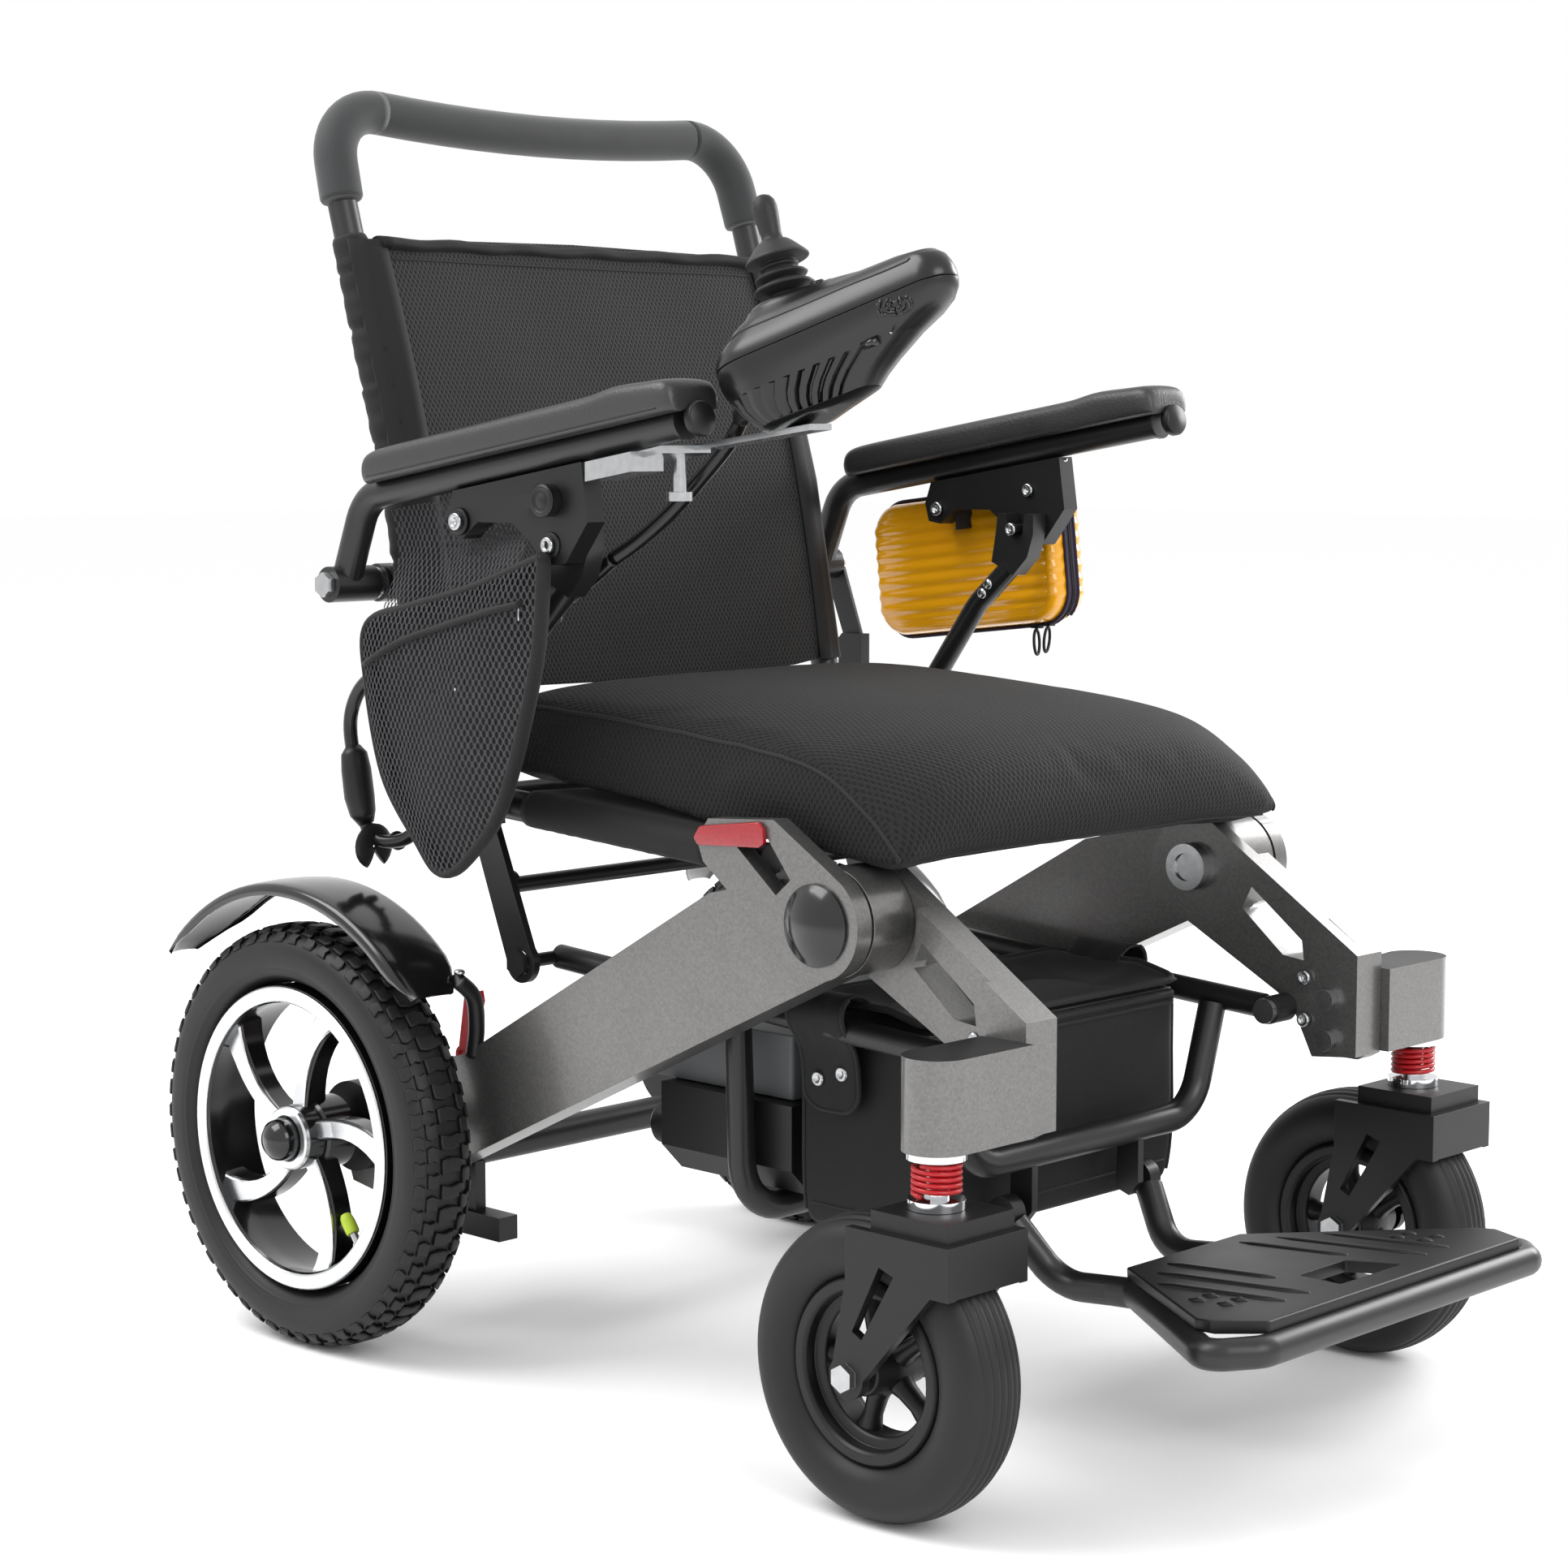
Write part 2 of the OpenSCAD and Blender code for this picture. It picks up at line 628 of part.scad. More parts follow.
// round knob that locks the arm down, on a pin in the bracket
module arm_latch() {
    bar(243, 258.5, [52, 630], 3);
    bar(258.3, 266, [52, 630], 11);
    slab(262.3, 266) polygon([[60, 636], [78, 632], [80, 624], [60, 624]]);
}
module arm_latch_right() { color([0.06, 0.06, 0.06]) side(-1) arm_latch(); }
module arm_latch_left() { color([0.06, 0.06, 0.06]) side(1) arm_latch(); }

module side_pocket() {
    color([0.16, 0.16, 0.16]) side(-1)
        slab(259, 272) polygon([[50, 594], [120, 572], [190, 556], [238, 541], [240, 500],
            [222, 432], [186, 388],
            [160, 366], [130, 380], [92, 424], [58, 520]]);
}

// ---------- joystick pod on the right arm ----------
pod_x = 208;
pod_tilt = 19;
stick_u = -20;                       // the stick's place in front of the pod's round back
// pod axes: the seam between the shells is the plane z = 0, and the nose points along -Y
module on_pod() { translate([pod_x, -112, 722]) rotate([-pod_tilt, 0, 0]) children(); }
module pod_plan(grow, h) {
    cylinder(h = h, r = 41 + grow, $fn = 32);
    translate([0, -138, 0]) cylinder(h = h, r = 17 + grow, $fn = 32);
}
module pod_top(grow) {
    hull() {
        pod_plan(grow, 2);
        translate([0, stick_u, 32 + grow]) cylinder(h = 2, r = 23 + grow, $fn = 32);
        translate([0, -132, 6 + grow]) cylinder(h = 2, r = 12 + grow, $fn = 32);
    }
}
module pod_bowl(grow) {
    hull() {
        mirror([0, 0, 1]) pod_plan(grow, 2);
        translate([0, -8, -44 - grow]) cylinder(h = 2, r = 25 + grow, $fn = 32);
        translate([0, -128, -14 - grow]) cylinder(h = 2, r = 11 + grow, $fn = 32);
    }
}
module pod_upper() {
    color([0.07, 0.07, 0.07]) side(-1) on_pod() translate([0, 0, 0.2]) difference() {
        pod_top(0);
        translate([0, 0, -2.9]) pod_top(-3);
        translate([0, stick_u, 10]) cylinder(h = 40, r = 18);
    }
}
module pod_lower() {
    color([0.05, 0.05, 0.05]) side(-1) on_pod() difference() {
        pod_bowl(0);
        translate([0, 0, 2.9]) pod_bowl(-3);
    }
}
// flat bar under the arm tube that carries the pod, with clamp and thumb screws
module pod_mount() {
    color("silver") side(-1) {
        slab(198, 218) polygon([[-150, 677], [-150, 681], [-40, 667], [-40, 663]]);
        slab(204, 250) polygon([[-46, 662], [-46, 667], [-8, 660], [-8, 655]]);
        slab(232, 262) polygon([[-30, 663], [-30, 650], [14, 643], [14, 656]]);
        translate([212, -24, 634]) cylinder(h = 26, r = 5);
        translate([212, -24, 630]) cylinder(h = 6, r = 9);
    }
}

stick_pivot = 26;                    // height of the stick's two tilt axes over the seam
module joystick_gimbal() {
    color("gray") side(-1) on_pod() translate([0, stick_u, stick_pivot]) difference() {
        cylinder(h = 6, r = 15, center = true);
        cylinder(h = 8, r = 12, center = true);
    }
}
// stick with its skirt and bellows
module joystick_lever() {
    color([0.05, 0.05, 0.05]) side(-1) on_pod() translate([0, stick_u, 0]) {
        translate([0, 0, 22]) cylinder(h = 72, r = 7);
        for (z = [43, 49, 55]) translate([0, 0, z]) cylinder(h = 4, r = 16);
        translate([0, 0, 60]) cylinder(h = 12, r1 = 21, r2 = 11);
        translate([0, 0, 94]) sphere(r = 10.5);
    }
}

// The cable's routes on the right-hand side, as [x, y, z]
cable_upper_route = [[-208, -93, 694.3], [-203, -78, 690], [-193, -62, 681], [-187, -46, 668],
    [-190, -24, 646],
    [-196, 0, 622], [-206, 20, 603], [-214, 38, 590]];
cable_lower_route = [[-231, 226, 500], [-231, 262, 500], [-232, 296, 486], [-232, 304, 460],
    [-231, 300, 430], [-229, 296, 400], [-224, 288, 378], [-218, 262, 378], [-214, 238, 394]];
module cable_upper() { color([0.05, 0.05, 0.05]) swept(spline(cable_upper_route, 3), 5.5, 8, [1, 0, 0]); }
module cable_lower() { color([0.05, 0.05, 0.05]) swept(spline(cable_lower_route, 3), 5.5, 8, [1, 0, 0]); }

// ---------- hard case on the left arm ----------
module case_outline(grow) {
    translate([145, 570]) rotate(-6.5) round_rect(192 + 2 * grow, 110 + 2 * grow, 26 + grow);
}
module case_half(x0, x1, wall_x0, wall_x1) {
    difference() {
        slab(x0, x1) case_outline(0);
        slab(wall_x0, wall_x1) case_outline(-3);
    }
}
module case_tray() {
    color("gold") {
        case_half(267, 289.8, 270, 295);
        // strap lug that hangs the case from the arm
        slab(261.3, 268) polygon([[118, 612], [150, 608], [152, 642], [120, 647]]);
    }
}
module case_lid() { color("gold") case_half(290.2, 311, 285, 308); }

seat_frame();
seat_sling();
seat_cushion();
front_leg_right();
front_leg_left();
frame_bolts();
caster_brackets();
reflectors();
side_beams();
rear_crossframe();
drive_motors();
fenders();
clutch_lever_right();
clutch_lever_left();
fold_links();
tray_frame();
battery_pack();
controller_box();
storage_bag();
footrest_tube();
footrest_plate();
caster_stem_right();
caster_stem_left();
caster_spring_right();
caster_spring_left();
caster_fork_right();
caster_fork_left();
caster_tyre_right();
caster_tyre_left();
caster_rim_right();
caster_rim_left();
rear_tyre_right();
rear_tyre_left();
rear_rim_right();
rear_rim_left();
backrest_frame();
backrest_sling();
push_grip();
arm_pivot_right();
arm_pivot_left();
arm_tube_right();
arm_tube_left();
arm_pad_right();
arm_pad_left();
arm_bracket_right();
arm_bracket_left();
arm_post_right();
arm_post_left();
arm_latch_right();
arm_latch_left();
side_pocket();
pod_upper();
pod_lower();
pod_mount();
joystick_gimbal();
joystick_lever();
cable_upper();
cable_lower();
case_tray();
case_lid();
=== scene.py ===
import math

import bmesh
import bpy
import numpy as np
from mathutils import Matrix, Vector
from mathutils.bvhtree import BVHTree


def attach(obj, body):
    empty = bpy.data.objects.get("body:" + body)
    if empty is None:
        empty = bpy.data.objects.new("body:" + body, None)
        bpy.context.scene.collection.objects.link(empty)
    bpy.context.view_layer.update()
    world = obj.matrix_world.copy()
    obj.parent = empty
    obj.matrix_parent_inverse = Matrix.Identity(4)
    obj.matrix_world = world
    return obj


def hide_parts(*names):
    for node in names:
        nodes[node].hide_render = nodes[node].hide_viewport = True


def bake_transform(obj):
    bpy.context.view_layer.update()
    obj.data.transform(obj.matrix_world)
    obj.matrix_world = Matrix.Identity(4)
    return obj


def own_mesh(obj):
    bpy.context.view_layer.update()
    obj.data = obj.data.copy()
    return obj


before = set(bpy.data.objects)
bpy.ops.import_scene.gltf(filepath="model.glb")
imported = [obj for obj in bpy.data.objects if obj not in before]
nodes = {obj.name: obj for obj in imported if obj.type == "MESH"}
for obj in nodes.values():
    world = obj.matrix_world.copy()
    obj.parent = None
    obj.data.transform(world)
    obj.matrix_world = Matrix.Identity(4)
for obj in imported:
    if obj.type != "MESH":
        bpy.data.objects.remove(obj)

scene = bpy.context.scene
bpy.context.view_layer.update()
mm = 0.001
sides = (("right", -1), ("left", 1))

# camera, lamps and floor
studio = {
    "cameraPlace": (-1.7203, -1.5800, 0.6783),
    "cameraLooks": (0.7145, 0.6911, -0.1091),
    "lens": 74.47,
    "skyStrength": 1.0,
    "floorColour": "#fdfdfd",
    # name, place, power in watts, size in metres
    "lamps": (
        ("keySoftbox", (-1.6, 1.2, 2.6), 60, 1.8),
        ("frontSoftbox", (-0.6, -2.6, 1.9), 34, 1.6),
        ("rimSoftbox", (2.4, -0.4, 1.4), 40, 1.2),
    ),
}


def linear(hexColour):
    channels = [int(hexColour[k:k + 2], 16) / 255 for k in (1, 3, 5)]
    return [c / 12.92 if c <= 0.04045 else ((c + 0.055) / 1.055) ** 2.4 for c in channels] + [1.0]


def addNode(tree, kind, settings=None, links=None):
    made = tree.nodes.new(kind)
    for key, value in (settings or {}).items():
        if isinstance(key, int) or key in made.inputs:
            made.inputs[key].default_value = value
        else:
            setattr(made, key, value)
    for socket, source in (links or {}).items():
        tree.links.new(source, made.inputs[socket])
    return made


def newMaterial(name):
    material = bpy.data.materials.new(name)
    material.use_nodes = True
    return material, material.node_tree, material.node_tree.nodes["Principled BSDF"]


def setSockets(shader, values):
    for socket, value in values.items():
        shader.inputs[socket].default_value = value


def makeStudio():
    lens = bpy.data.cameras.new("camera")
    lens.lens, lens.sensor_width = studio["lens"], 36
    camera = bpy.data.objects.new("camera", lens)
    camera.location = studio["cameraPlace"]
    camera.rotation_euler = Vector(studio["cameraLooks"]).to_track_quat("-Z", "Y").to_euler()
    scene.collection.objects.link(camera)
    scene.camera = camera
    for name, place, power, size in studio["lamps"]:
        light = bpy.data.lights.new(name, "AREA")
        light.energy, light.size = power, size
        lamp = bpy.data.objects.new(name, light)
        lamp.location = place
        lamp.rotation_euler = (Vector((0, 0, 0.45)) - lamp.location).to_track_quat("-Z", "Y").to_euler()
        scene.collection.objects.link(lamp)
    world = bpy.data.worlds.new("whiteTent")
    world.use_nodes = True
    sky = world.node_tree.nodes["Background"]
    sky.inputs["Color"].default_value = (1, 1, 1, 1)
    sky.inputs["Strength"].default_value = studio["skyStrength"]
    scene.world = world
    scene.view_settings.view_transform = "Standard"
    bpy.ops.mesh.primitive_plane_add(size=40)
    floor = bpy.context.object
    floor.name = "floor"
    # matt paper sweep: almost white, with a hardly visible cloudiness
    paper, tree, shader = newMaterial("paperSweep")
    grain = addNode(tree, "ShaderNodeTexNoise", {"Scale": 3.0})
    tint = addNode(tree, "ShaderNodeMix", {"data_type": "RGBA", 6: linear(studio["floorColour"]), 7: (1, 1, 1, 1)},
                   {0: grain.outputs["Fac"]})
    tree.links.new(tint.outputs[2], shader.inputs["Base Color"])
    shader.inputs["Roughness"].default_value = 0.9
    floor.data.materials.append(paper)


makeStudio()
print("studio ready")


# Each look: colour and its darker or lighter mate, roughness, and the grain of its surface.
# grain is the size in mm of the bumps and depth their height in mm.
solidLooks = {
    # satin metallic lacquer on cast aluminium: dark silver with a fine sparkle and soft wide highlights
    "gunmetalLacquer": dict(colour="#757473", mate="#6b6a69", metallic=0.8, rough=0.35, grain=0.9, depth=0.006,
                            coat=0.35, patch=90, flakes=1.6),
    # powder coat on steel tube: soft satin black with a faint orange peel
    "blackPowderCoat": dict(colour="#141415", mate="#1a1a1b", rough=0.36, gloss=0.5, grain=1.6, depth=0.02, patch=70),
    # glass filled nylon from a sparked mould: even fine grain that breaks up the highlights
    "mouldedNylon": dict(colour="#101011", mate="#161617", rough=0.4, grain=0.9, depth=0.03, patch=60),
    # polished ABS: deep black with sharp reflections
    "glossAbs": dict(colour="#0b0b0c", mate="#101011", rough=0.17, grain=4.0, depth=0.004, coat=0.5, patch=90),
    # fine satin ABS of the joystick housing: black with soft wide highlights
    "satinAbs": dict(colour="#0c0c0d", mate="#101011", rough=0.27, gloss=0.5, grain=1.2, depth=0.012, patch=50),
    # soft moulded rubber of the stick and its bellows: dull grey-black
    "softRubber": dict(colour="#141415", mate="#1a1a1b", rough=0.5, grain=0.9, depth=0.02, patch=20, sheen=0.05),
    # vulcanised tyre rubber: charcoal, slightly chalky with blotchy sheen
    "tyreRubber": dict(colour="#131314", mate="#1a1a1b", rough=0.5, grain=0.8, depth=0.03, patch=35),
    # closed cell EVA foam skin: matt dark grey, no sharp highlight
    "evaFoam": dict(colour="#272829", mate="#2e2f30", rough=0.72, grain=0.9, depth=0.05, patch=25, sheen=0.25),
    # integral skin polyurethane with a leather pebble: soft broken highlights
    "pebbledPolyurethane": dict(colour="#202021", mate="#29292a", rough=0.42, gloss=0.6, grain=1.5, depth=0.16,
                                patch=50, pebble=1.7),
    # zinc plated bolts: bright, a little cloudy
    "zincPlate": dict(colour="#c9cacb", mate="#a9abad", metallic=1.0, rough=0.24, grain=1.2, depth=0.01, patch=6),
    # hard chrome on collars: mirror bright
    "chromePlate": dict(colour="#dcdde0", mate="#c9cacc", metallic=1.0, rough=0.09, grain=2.0, depth=0.003, patch=9),
    # diamond cut alloy wheel face: bright silver with fine turning marks
    "machinedAlloy": dict(colour="#dfe0e2", mate="#cfd1d3", metallic=1.0, rough=0.27, grain=0.7, depth=0.008,
                          patch=14),
    # red powder coat on spring wire: saturated satin red
    "redPowderCoat": dict(colour="#b3101a", mate="#a00d16", rough=0.33, grain=1.2, depth=0.01, patch=9, coat=0.2),
    # red ABS for the clutch lever: mid red, semi gloss
    "redAbs": dict(colour="#c01c2c", mate="#b01726", rough=0.36, grain=1.0, depth=0.02, patch=12),
    # acrylic reflector with moulded prisms under a smooth face
    "reflectorAcrylic": dict(colour="#a31220", mate="#7f0c17", rough=0.14, grain=2.2, depth=0.12, patch=4, coat=0.8,
                             pebble=2.4),
    # grey ABS box: flat office grey with a fine spark grain
    "greyAbs": dict(colour="#6f7173", mate="#66686a", rough=0.5, grain=0.9, depth=0.03, patch=60),
    # extruded PVC cable jacket: glossy black
    "cablePvc": dict(colour="#101011", mate="#171718", rough=0.24, grain=2.0, depth=0.006, patch=20, coat=0.2),
    # glossy polycarbonate luggage shell: warm yellow orange with sharp reflections
    "yellowPolycarbonate": dict(colour="#f0ac10", mate="#e59b08", rough=0.15, grain=3.0, depth=0.006, patch=60,
                                coat=0.8),
    # lime PVC valve cap
    "limePvc": dict(colour="#b4cc3e", mate="#a4bd30", rough=0.4, grain=0.8, depth=0.02, patch=6),
}


def solidMaterial(name, look):
    material, tree, shader = newMaterial(name)
    coords = addNode(tree, "ShaderNodeTexCoord").outputs["Object"]
    blotch = addNode(tree, "ShaderNodeTexNoise", {"Scale": 1 / (look["patch"] * mm), "Detail": 4.0},
                     {"Vector": coords})
    tint = addNode(tree, "ShaderNodeMix", {"data_type": "RGBA", 6: linear(look["colour"]), 7: linear(look["mate"])},
                   {0: blotch.outputs["Fac"]})
    colour = tint.outputs[2]
    if look.get("flakes"):  # metal flakes: tiny cells, each a touch lighter or darker
        flakes = addNode(tree, "ShaderNodeTexVoronoi", {"Scale": 1 / (look["flakes"] * mm)}, {"Vector": coords})
        spark = addNode(tree, "ShaderNodeMapRange", {"To Min": 0.86, "To Max": 1.16},
                        {"Value": flakes.outputs["Color"]})
        lit = addNode(tree, "ShaderNodeVectorMath", {"operation": "SCALE"}, {0: colour, "Scale": spark.outputs[0]})
        colour = lit.outputs[0]
    tree.links.new(colour, shader.inputs["Base Color"])
    rough = addNode(tree, "ShaderNodeMapRange",
                    {"To Min": look["rough"] * 0.86, "To Max": min(1, look["rough"] * 1.18)},
                    {"Value": blotch.outputs["Fac"]})
    tree.links.new(rough.outputs[0], shader.inputs["Roughness"])
    fine = addNode(tree, "ShaderNodeTexNoise", {"Scale": 1 / (look["grain"] * mm), "Detail": 2.0}, {"Vector": coords})
    height = fine.outputs["Fac"]
    if look.get("pebble"):  # rounded leather cells
        cells = addNode(tree, "ShaderNodeTexVoronoi", {"feature": "SMOOTH_F1", "Scale": 1 / (look["pebble"] * mm)},
                        {"Vector": coords})
        height = cells.outputs["Distance"]
    bump = addNode(tree, "ShaderNodeBump", {"Strength": 1.0, "Distance": look["depth"] * mm}, {"Height": height})
    tree.links.new(bump.outputs[0], shader.inputs["Normal"])
    setSockets(shader, {"Metallic": look.get("metallic", 0), "Sheen Weight": look.get("sheen", 0),
                        "Coat Weight": look.get("coat", 0), "Coat Roughness": 0.12})
    if not look.get("metallic"):
        setSockets(shader, {"Specular IOR Level": look.get("gloss", 0.36)})
    return material


def holeDistance(tree, coords, pitch, mask):
    # distance to the nearest point of a staggered lattice in the plane that mask keeps, in pitches
    near = []
    for shift in (0.0, 0.5):
        grid = addNode(tree, "ShaderNodeVectorMath", {"operation": "MULTIPLY_ADD", 1: [m / pitch for m in mask],
                                                      2: [shift * (m > 0) for m in mask]}, {0: coords})
        cell = addNode(tree, "ShaderNodeVectorMath", {"operation": "FRACTION"}, {0: grid.outputs[0]})
        middle = addNode(tree, "ShaderNodeVectorMath", {"operation": "SUBTRACT", 1: [0.5 * (m > 0) for m in mask]},
                         {0: cell.outputs[0]})
        near.append(addNode(tree, "ShaderNodeVectorMath", {"operation": "LENGTH"}, {0: middle.outputs[0]}).outputs[1])
    return addNode(tree, "ShaderNodeMath", {"operation": "MINIMUM"}, {0: near[0], 1: near[1]}).outputs[0]


clothLooks = {
    # knitted spacer fabric: black with rows of small round holes, a soft sheen at grazing angles; the holes are
    # painted near black, as painted shade in their depth.
    # the holes are about 4.6 mm apart, a little coarser than life so that they show
    "airMesh": dict(thread="#151516", holeShade="#020202", pitch=4.6, open=(0.15, 0.31), depth=0.9, rough=0.8,
                    sheen=0.03),
    # the same fabric, tight on the back panel, with a finer hole; its thread and holes are painted lighter than on
    # the seat, as painted light on the upright panel
    "backMeshPaintedLighter": dict(thread="#262627", holeShade="#040404", pitch=4.2, open=(0.15, 0.31), depth=0.7, rough=0.8,
                     sheen=0.06),
}


def meshMaterial(name, look):
    material, tree, shader = newMaterial(name)
    place = addNode(tree, "ShaderNodeTexCoord")
    facing = addNode(tree, "ShaderNodeVectorMath", {"operation": "ABSOLUTE"}, {0: place.outputs["Normal"]})
    parts = addNode(tree, "ShaderNodeSeparateXYZ", {}, {0: facing.outputs[0]}).outputs
    pitch = look["pitch"] * mm
    total = weights = None
    # one lattice for each main plane, weighed by how squarely the surface faces it
    for axis, mask in ((0, (0, 1.0, 0.62)), (1, (1.0, 0, 0.62)), (2, (1.0, 0.62, 0))):
        near = holeDistance(tree, place.outputs["Object"], pitch, mask)
        share = addNode(tree, "ShaderNodeMath", {"operation": "POWER", 1: 8.0}, {0: parts[axis]}).outputs[0]
        part = addNode(tree, "ShaderNodeMath", {"operation": "MULTIPLY"}, {0: near, 1: share}).outputs[0]
        total = part if total is None else addNode(tree, "ShaderNodeMath", {"operation": "ADD"},
                                                   {0: total, 1: part}).outputs[0]
        weights = share if weights is None else addNode(tree, "ShaderNodeMath", {"operation": "ADD"},
                                                        {0: weights, 1: share}).outputs[0]
    near = addNode(tree, "ShaderNodeMath", {"operation": "DIVIDE"}, {0: total, 1: weights}).outputs[0]
    knit = addNode(tree, "ShaderNodeMapRange", {"interpolation_type": "SMOOTHSTEP", "From Min": look["open"][0],
                                                "From Max": look["open"][1]}, {"Value": near}).outputs[0]
    blotch = addNode(tree, "ShaderNodeTexNoise", {"Scale": 14.0, "Detail": 3.0}, {"Vector": place.outputs["Object"]})
    worn = addNode(tree, "ShaderNodeMapRange", {"To Min": 0.82, "To Max": 1.2}, {"Value": blotch.outputs["Fac"]})
    # where the knit opens into a hole the colour turns to the near-black holeShade: painted shade in the depth of the
    # hole
    tint = addNode(tree, "ShaderNodeMix", {"data_type": "RGBA", 6: linear(look["holeShade"]), 7: linear(look["thread"])},
                   {0: knit})
    lit = addNode(tree, "ShaderNodeVectorMath", {"operation": "SCALE"},
                  {0: tint.outputs[2], "Scale": worn.outputs[0]})
    tree.links.new(lit.outputs[0], shader.inputs["Base Color"])
    fluff = addNode(tree, "ShaderNodeTexNoise", {"Scale": 1600.0}, {"Vector": place.outputs["Object"]})
    tall = addNode(tree, "ShaderNodeMath", {"operation": "MULTIPLY_ADD", 1: 0.12}, {0: fluff.outputs["Fac"], 2: knit})
    bump = addNode(tree, "ShaderNodeBump", {"Strength": 0.85, "Distance": look["depth"] * mm},
                   {"Height": tall.outputs[0]})
    tree.links.new(bump.outputs[0], shader.inputs["Normal"])
    setSockets(shader, {"Roughness": look["rough"], "Sheen Weight": look["sheen"], "Sheen Roughness": 0.5,
                        "Specular IOR Level": 0.3})
    return material


def twillMaterial(name, colour, mate, pitch):
    # woven nylon: fine diagonal ribs, cross threads and a faint sheen
    material, tree, shader = newMaterial(name)
    coords = addNode(tree, "ShaderNodeTexCoord").outputs["Object"]
    ribs = []
    for way, size in (((1.0, 0.8, 0.9), pitch), ((-0.9, 1.0, -0.8), pitch * 0.62)):
        along = addNode(tree, "ShaderNodeVectorMath", {"operation": "DOT_PRODUCT",
                                                       1: [w / (size * mm) * 2 * math.pi for w in way]}, {0: coords})
        ribs.append(addNode(tree, "ShaderNodeMath", {"operation": "SINE"}, {0: along.outputs[1]}).outputs[0])
    woven = addNode(tree, "ShaderNodeMath", {"operation": "MULTIPLY_ADD", 1: 0.5}, {0: ribs[1], 2: ribs[0]})
    level = addNode(tree, "ShaderNodeMapRange", {"From Min": -1.5, "From Max": 1.5}, {"Value": woven.outputs[0]})
    blotch = addNode(tree, "ShaderNodeTexNoise", {"Scale": 22.0, "Detail": 4.0}, {"Vector": coords})
    half = addNode(tree, "ShaderNodeMath", {"operation": "MULTIPLY_ADD", 1: 0.5, 2: 0.0}, {0: level.outputs[0]})
    share = addNode(tree, "ShaderNodeMath", {"operation": "MULTIPLY_ADD", 1: 0.5},
                    {0: blotch.outputs["Fac"], 2: half.outputs[0]})
    tint = addNode(tree, "ShaderNodeMix", {"data_type": "RGBA", 6: linear(colour), 7: linear(mate)},
                   {0: share.outputs[0]})
    tree.links.new(tint.outputs[2], shader.inputs["Base Color"])
    bump = addNode(tree, "ShaderNodeBump", {"Strength": 0.7, "Distance": 0.12 * mm}, {"Height": level.outputs[0]})
    tree.links.new(bump.outputs[0], shader.inputs["Normal"])
    setSockets(shader, {"Roughness": 0.7, "Specular IOR Level": 0.3, "Sheen Weight": 0.05})
    return material


def netMaterial(name, colour, pitch):
    # knotted polyester net of the pocket: staggered round holes that are really open, drawn coarser than life
    material, tree, shader = newMaterial(name)
    coords = addNode(tree, "ShaderNodeTexCoord").outputs["Object"]
    near = holeDistance(tree, coords, pitch * mm, (0, 1.0, 0.62))
    thread = addNode(tree, "ShaderNodeMapRange", {"From Min": 0.26, "From Max": 0.31}, {"Value": near})
    tree.links.new(thread.outputs[0], shader.inputs["Alpha"])
    blotch = addNode(tree, "ShaderNodeTexNoise", {"Scale": 60.0}, {"Vector": coords})
    tint = addNode(tree, "ShaderNodeMix", {"data_type": "RGBA", 6: linear(colour), 7: linear("#37373a")},
                   {0: blotch.outputs["Fac"]})
    tree.links.new(tint.outputs[2], shader.inputs["Base Color"])
    bump = addNode(tree, "ShaderNodeBump", {"Strength": 0.8, "Distance": 0.4 * mm}, {"Height": near})
    tree.links.new(bump.outputs[0], shader.inputs["Normal"])
    setSockets(shader, {"Roughness": 0.85, "Specular IOR Level": 0.2})
    return material


paint = {name: solidMaterial(name, look) for name, look in solidLooks.items()}
paint.update({name: meshMaterial(name, look) for name, look in clothLooks.items()})
# bag and sling cloth, seam binding and zip tape: name, two thread colours, rib spacing in mm
paint["nylonTwill"] = twillMaterial("nylonTwill", "#0b0b0c", "#151516", 1.5)
paint["bindingTape"] = twillMaterial("bindingTape", "#131314", "#202021", 2.2)
paint["zipTape"] = twillMaterial("zipTape", "#241a2c", "#30253a", 1.8)
paint["pocketNet"] = netMaterial("pocketNet", "#434345", 5.4)
print("materials ready", len(paint))


# a shape is (points in mm, faces)
def unit(v):
    return v / np.linalg.norm(v)


def loft(rings, capped=True, closed=False):
    count, points = len(rings[0]), np.concatenate([np.asarray(r, float) for r in rings])
    rows = len(rings)
    faces = []
    for i in range(rows if closed else rows - 1):
        a, b = i * count, (i + 1) % rows * count
        faces += [(a + k, a + (k + 1) % count, b + (k + 1) % count, b + k) for k in range(count)]
    if capped and not closed:
        faces += [tuple(range(count - 1, -1, -1)), tuple(range((rows - 1) * count, rows * count))]
    return points, faces


def sheetGrid(rows):
    wide, points = len(rows[0]), np.concatenate([np.asarray(r, float) for r in rows])
    return points, [(i * wide + k, i * wide + k + 1, (i + 1) * wide + k + 1, (i + 1) * wide + k)
                    for i in range(len(rows) - 1) for k in range(wide - 1)]


def bent(corners, bend, step=8):
    corners = [np.array(c, float) for c in corners]
    path = [corners[0]]
    for a, b, c in zip(corners, corners[1:], corners[2:]):
        d, e = unit(b - a), unit(c - b)
        angle = math.acos(max(-1, min(1, float(d @ e))))
        if angle < 0.02:
            path.append(b)
            continue
        inward = unit(e - d * (e @ d))
        start = b - d * bend * math.tan(angle / 2)
        steps = max(2, math.ceil(math.degrees(angle) / step))
        path += [start + bend * (inward * (1 - math.cos(angle * k / steps)) + d * math.sin(angle * k / steps))
                 for k in range(steps + 1)]
    return path + [corners[-1]]


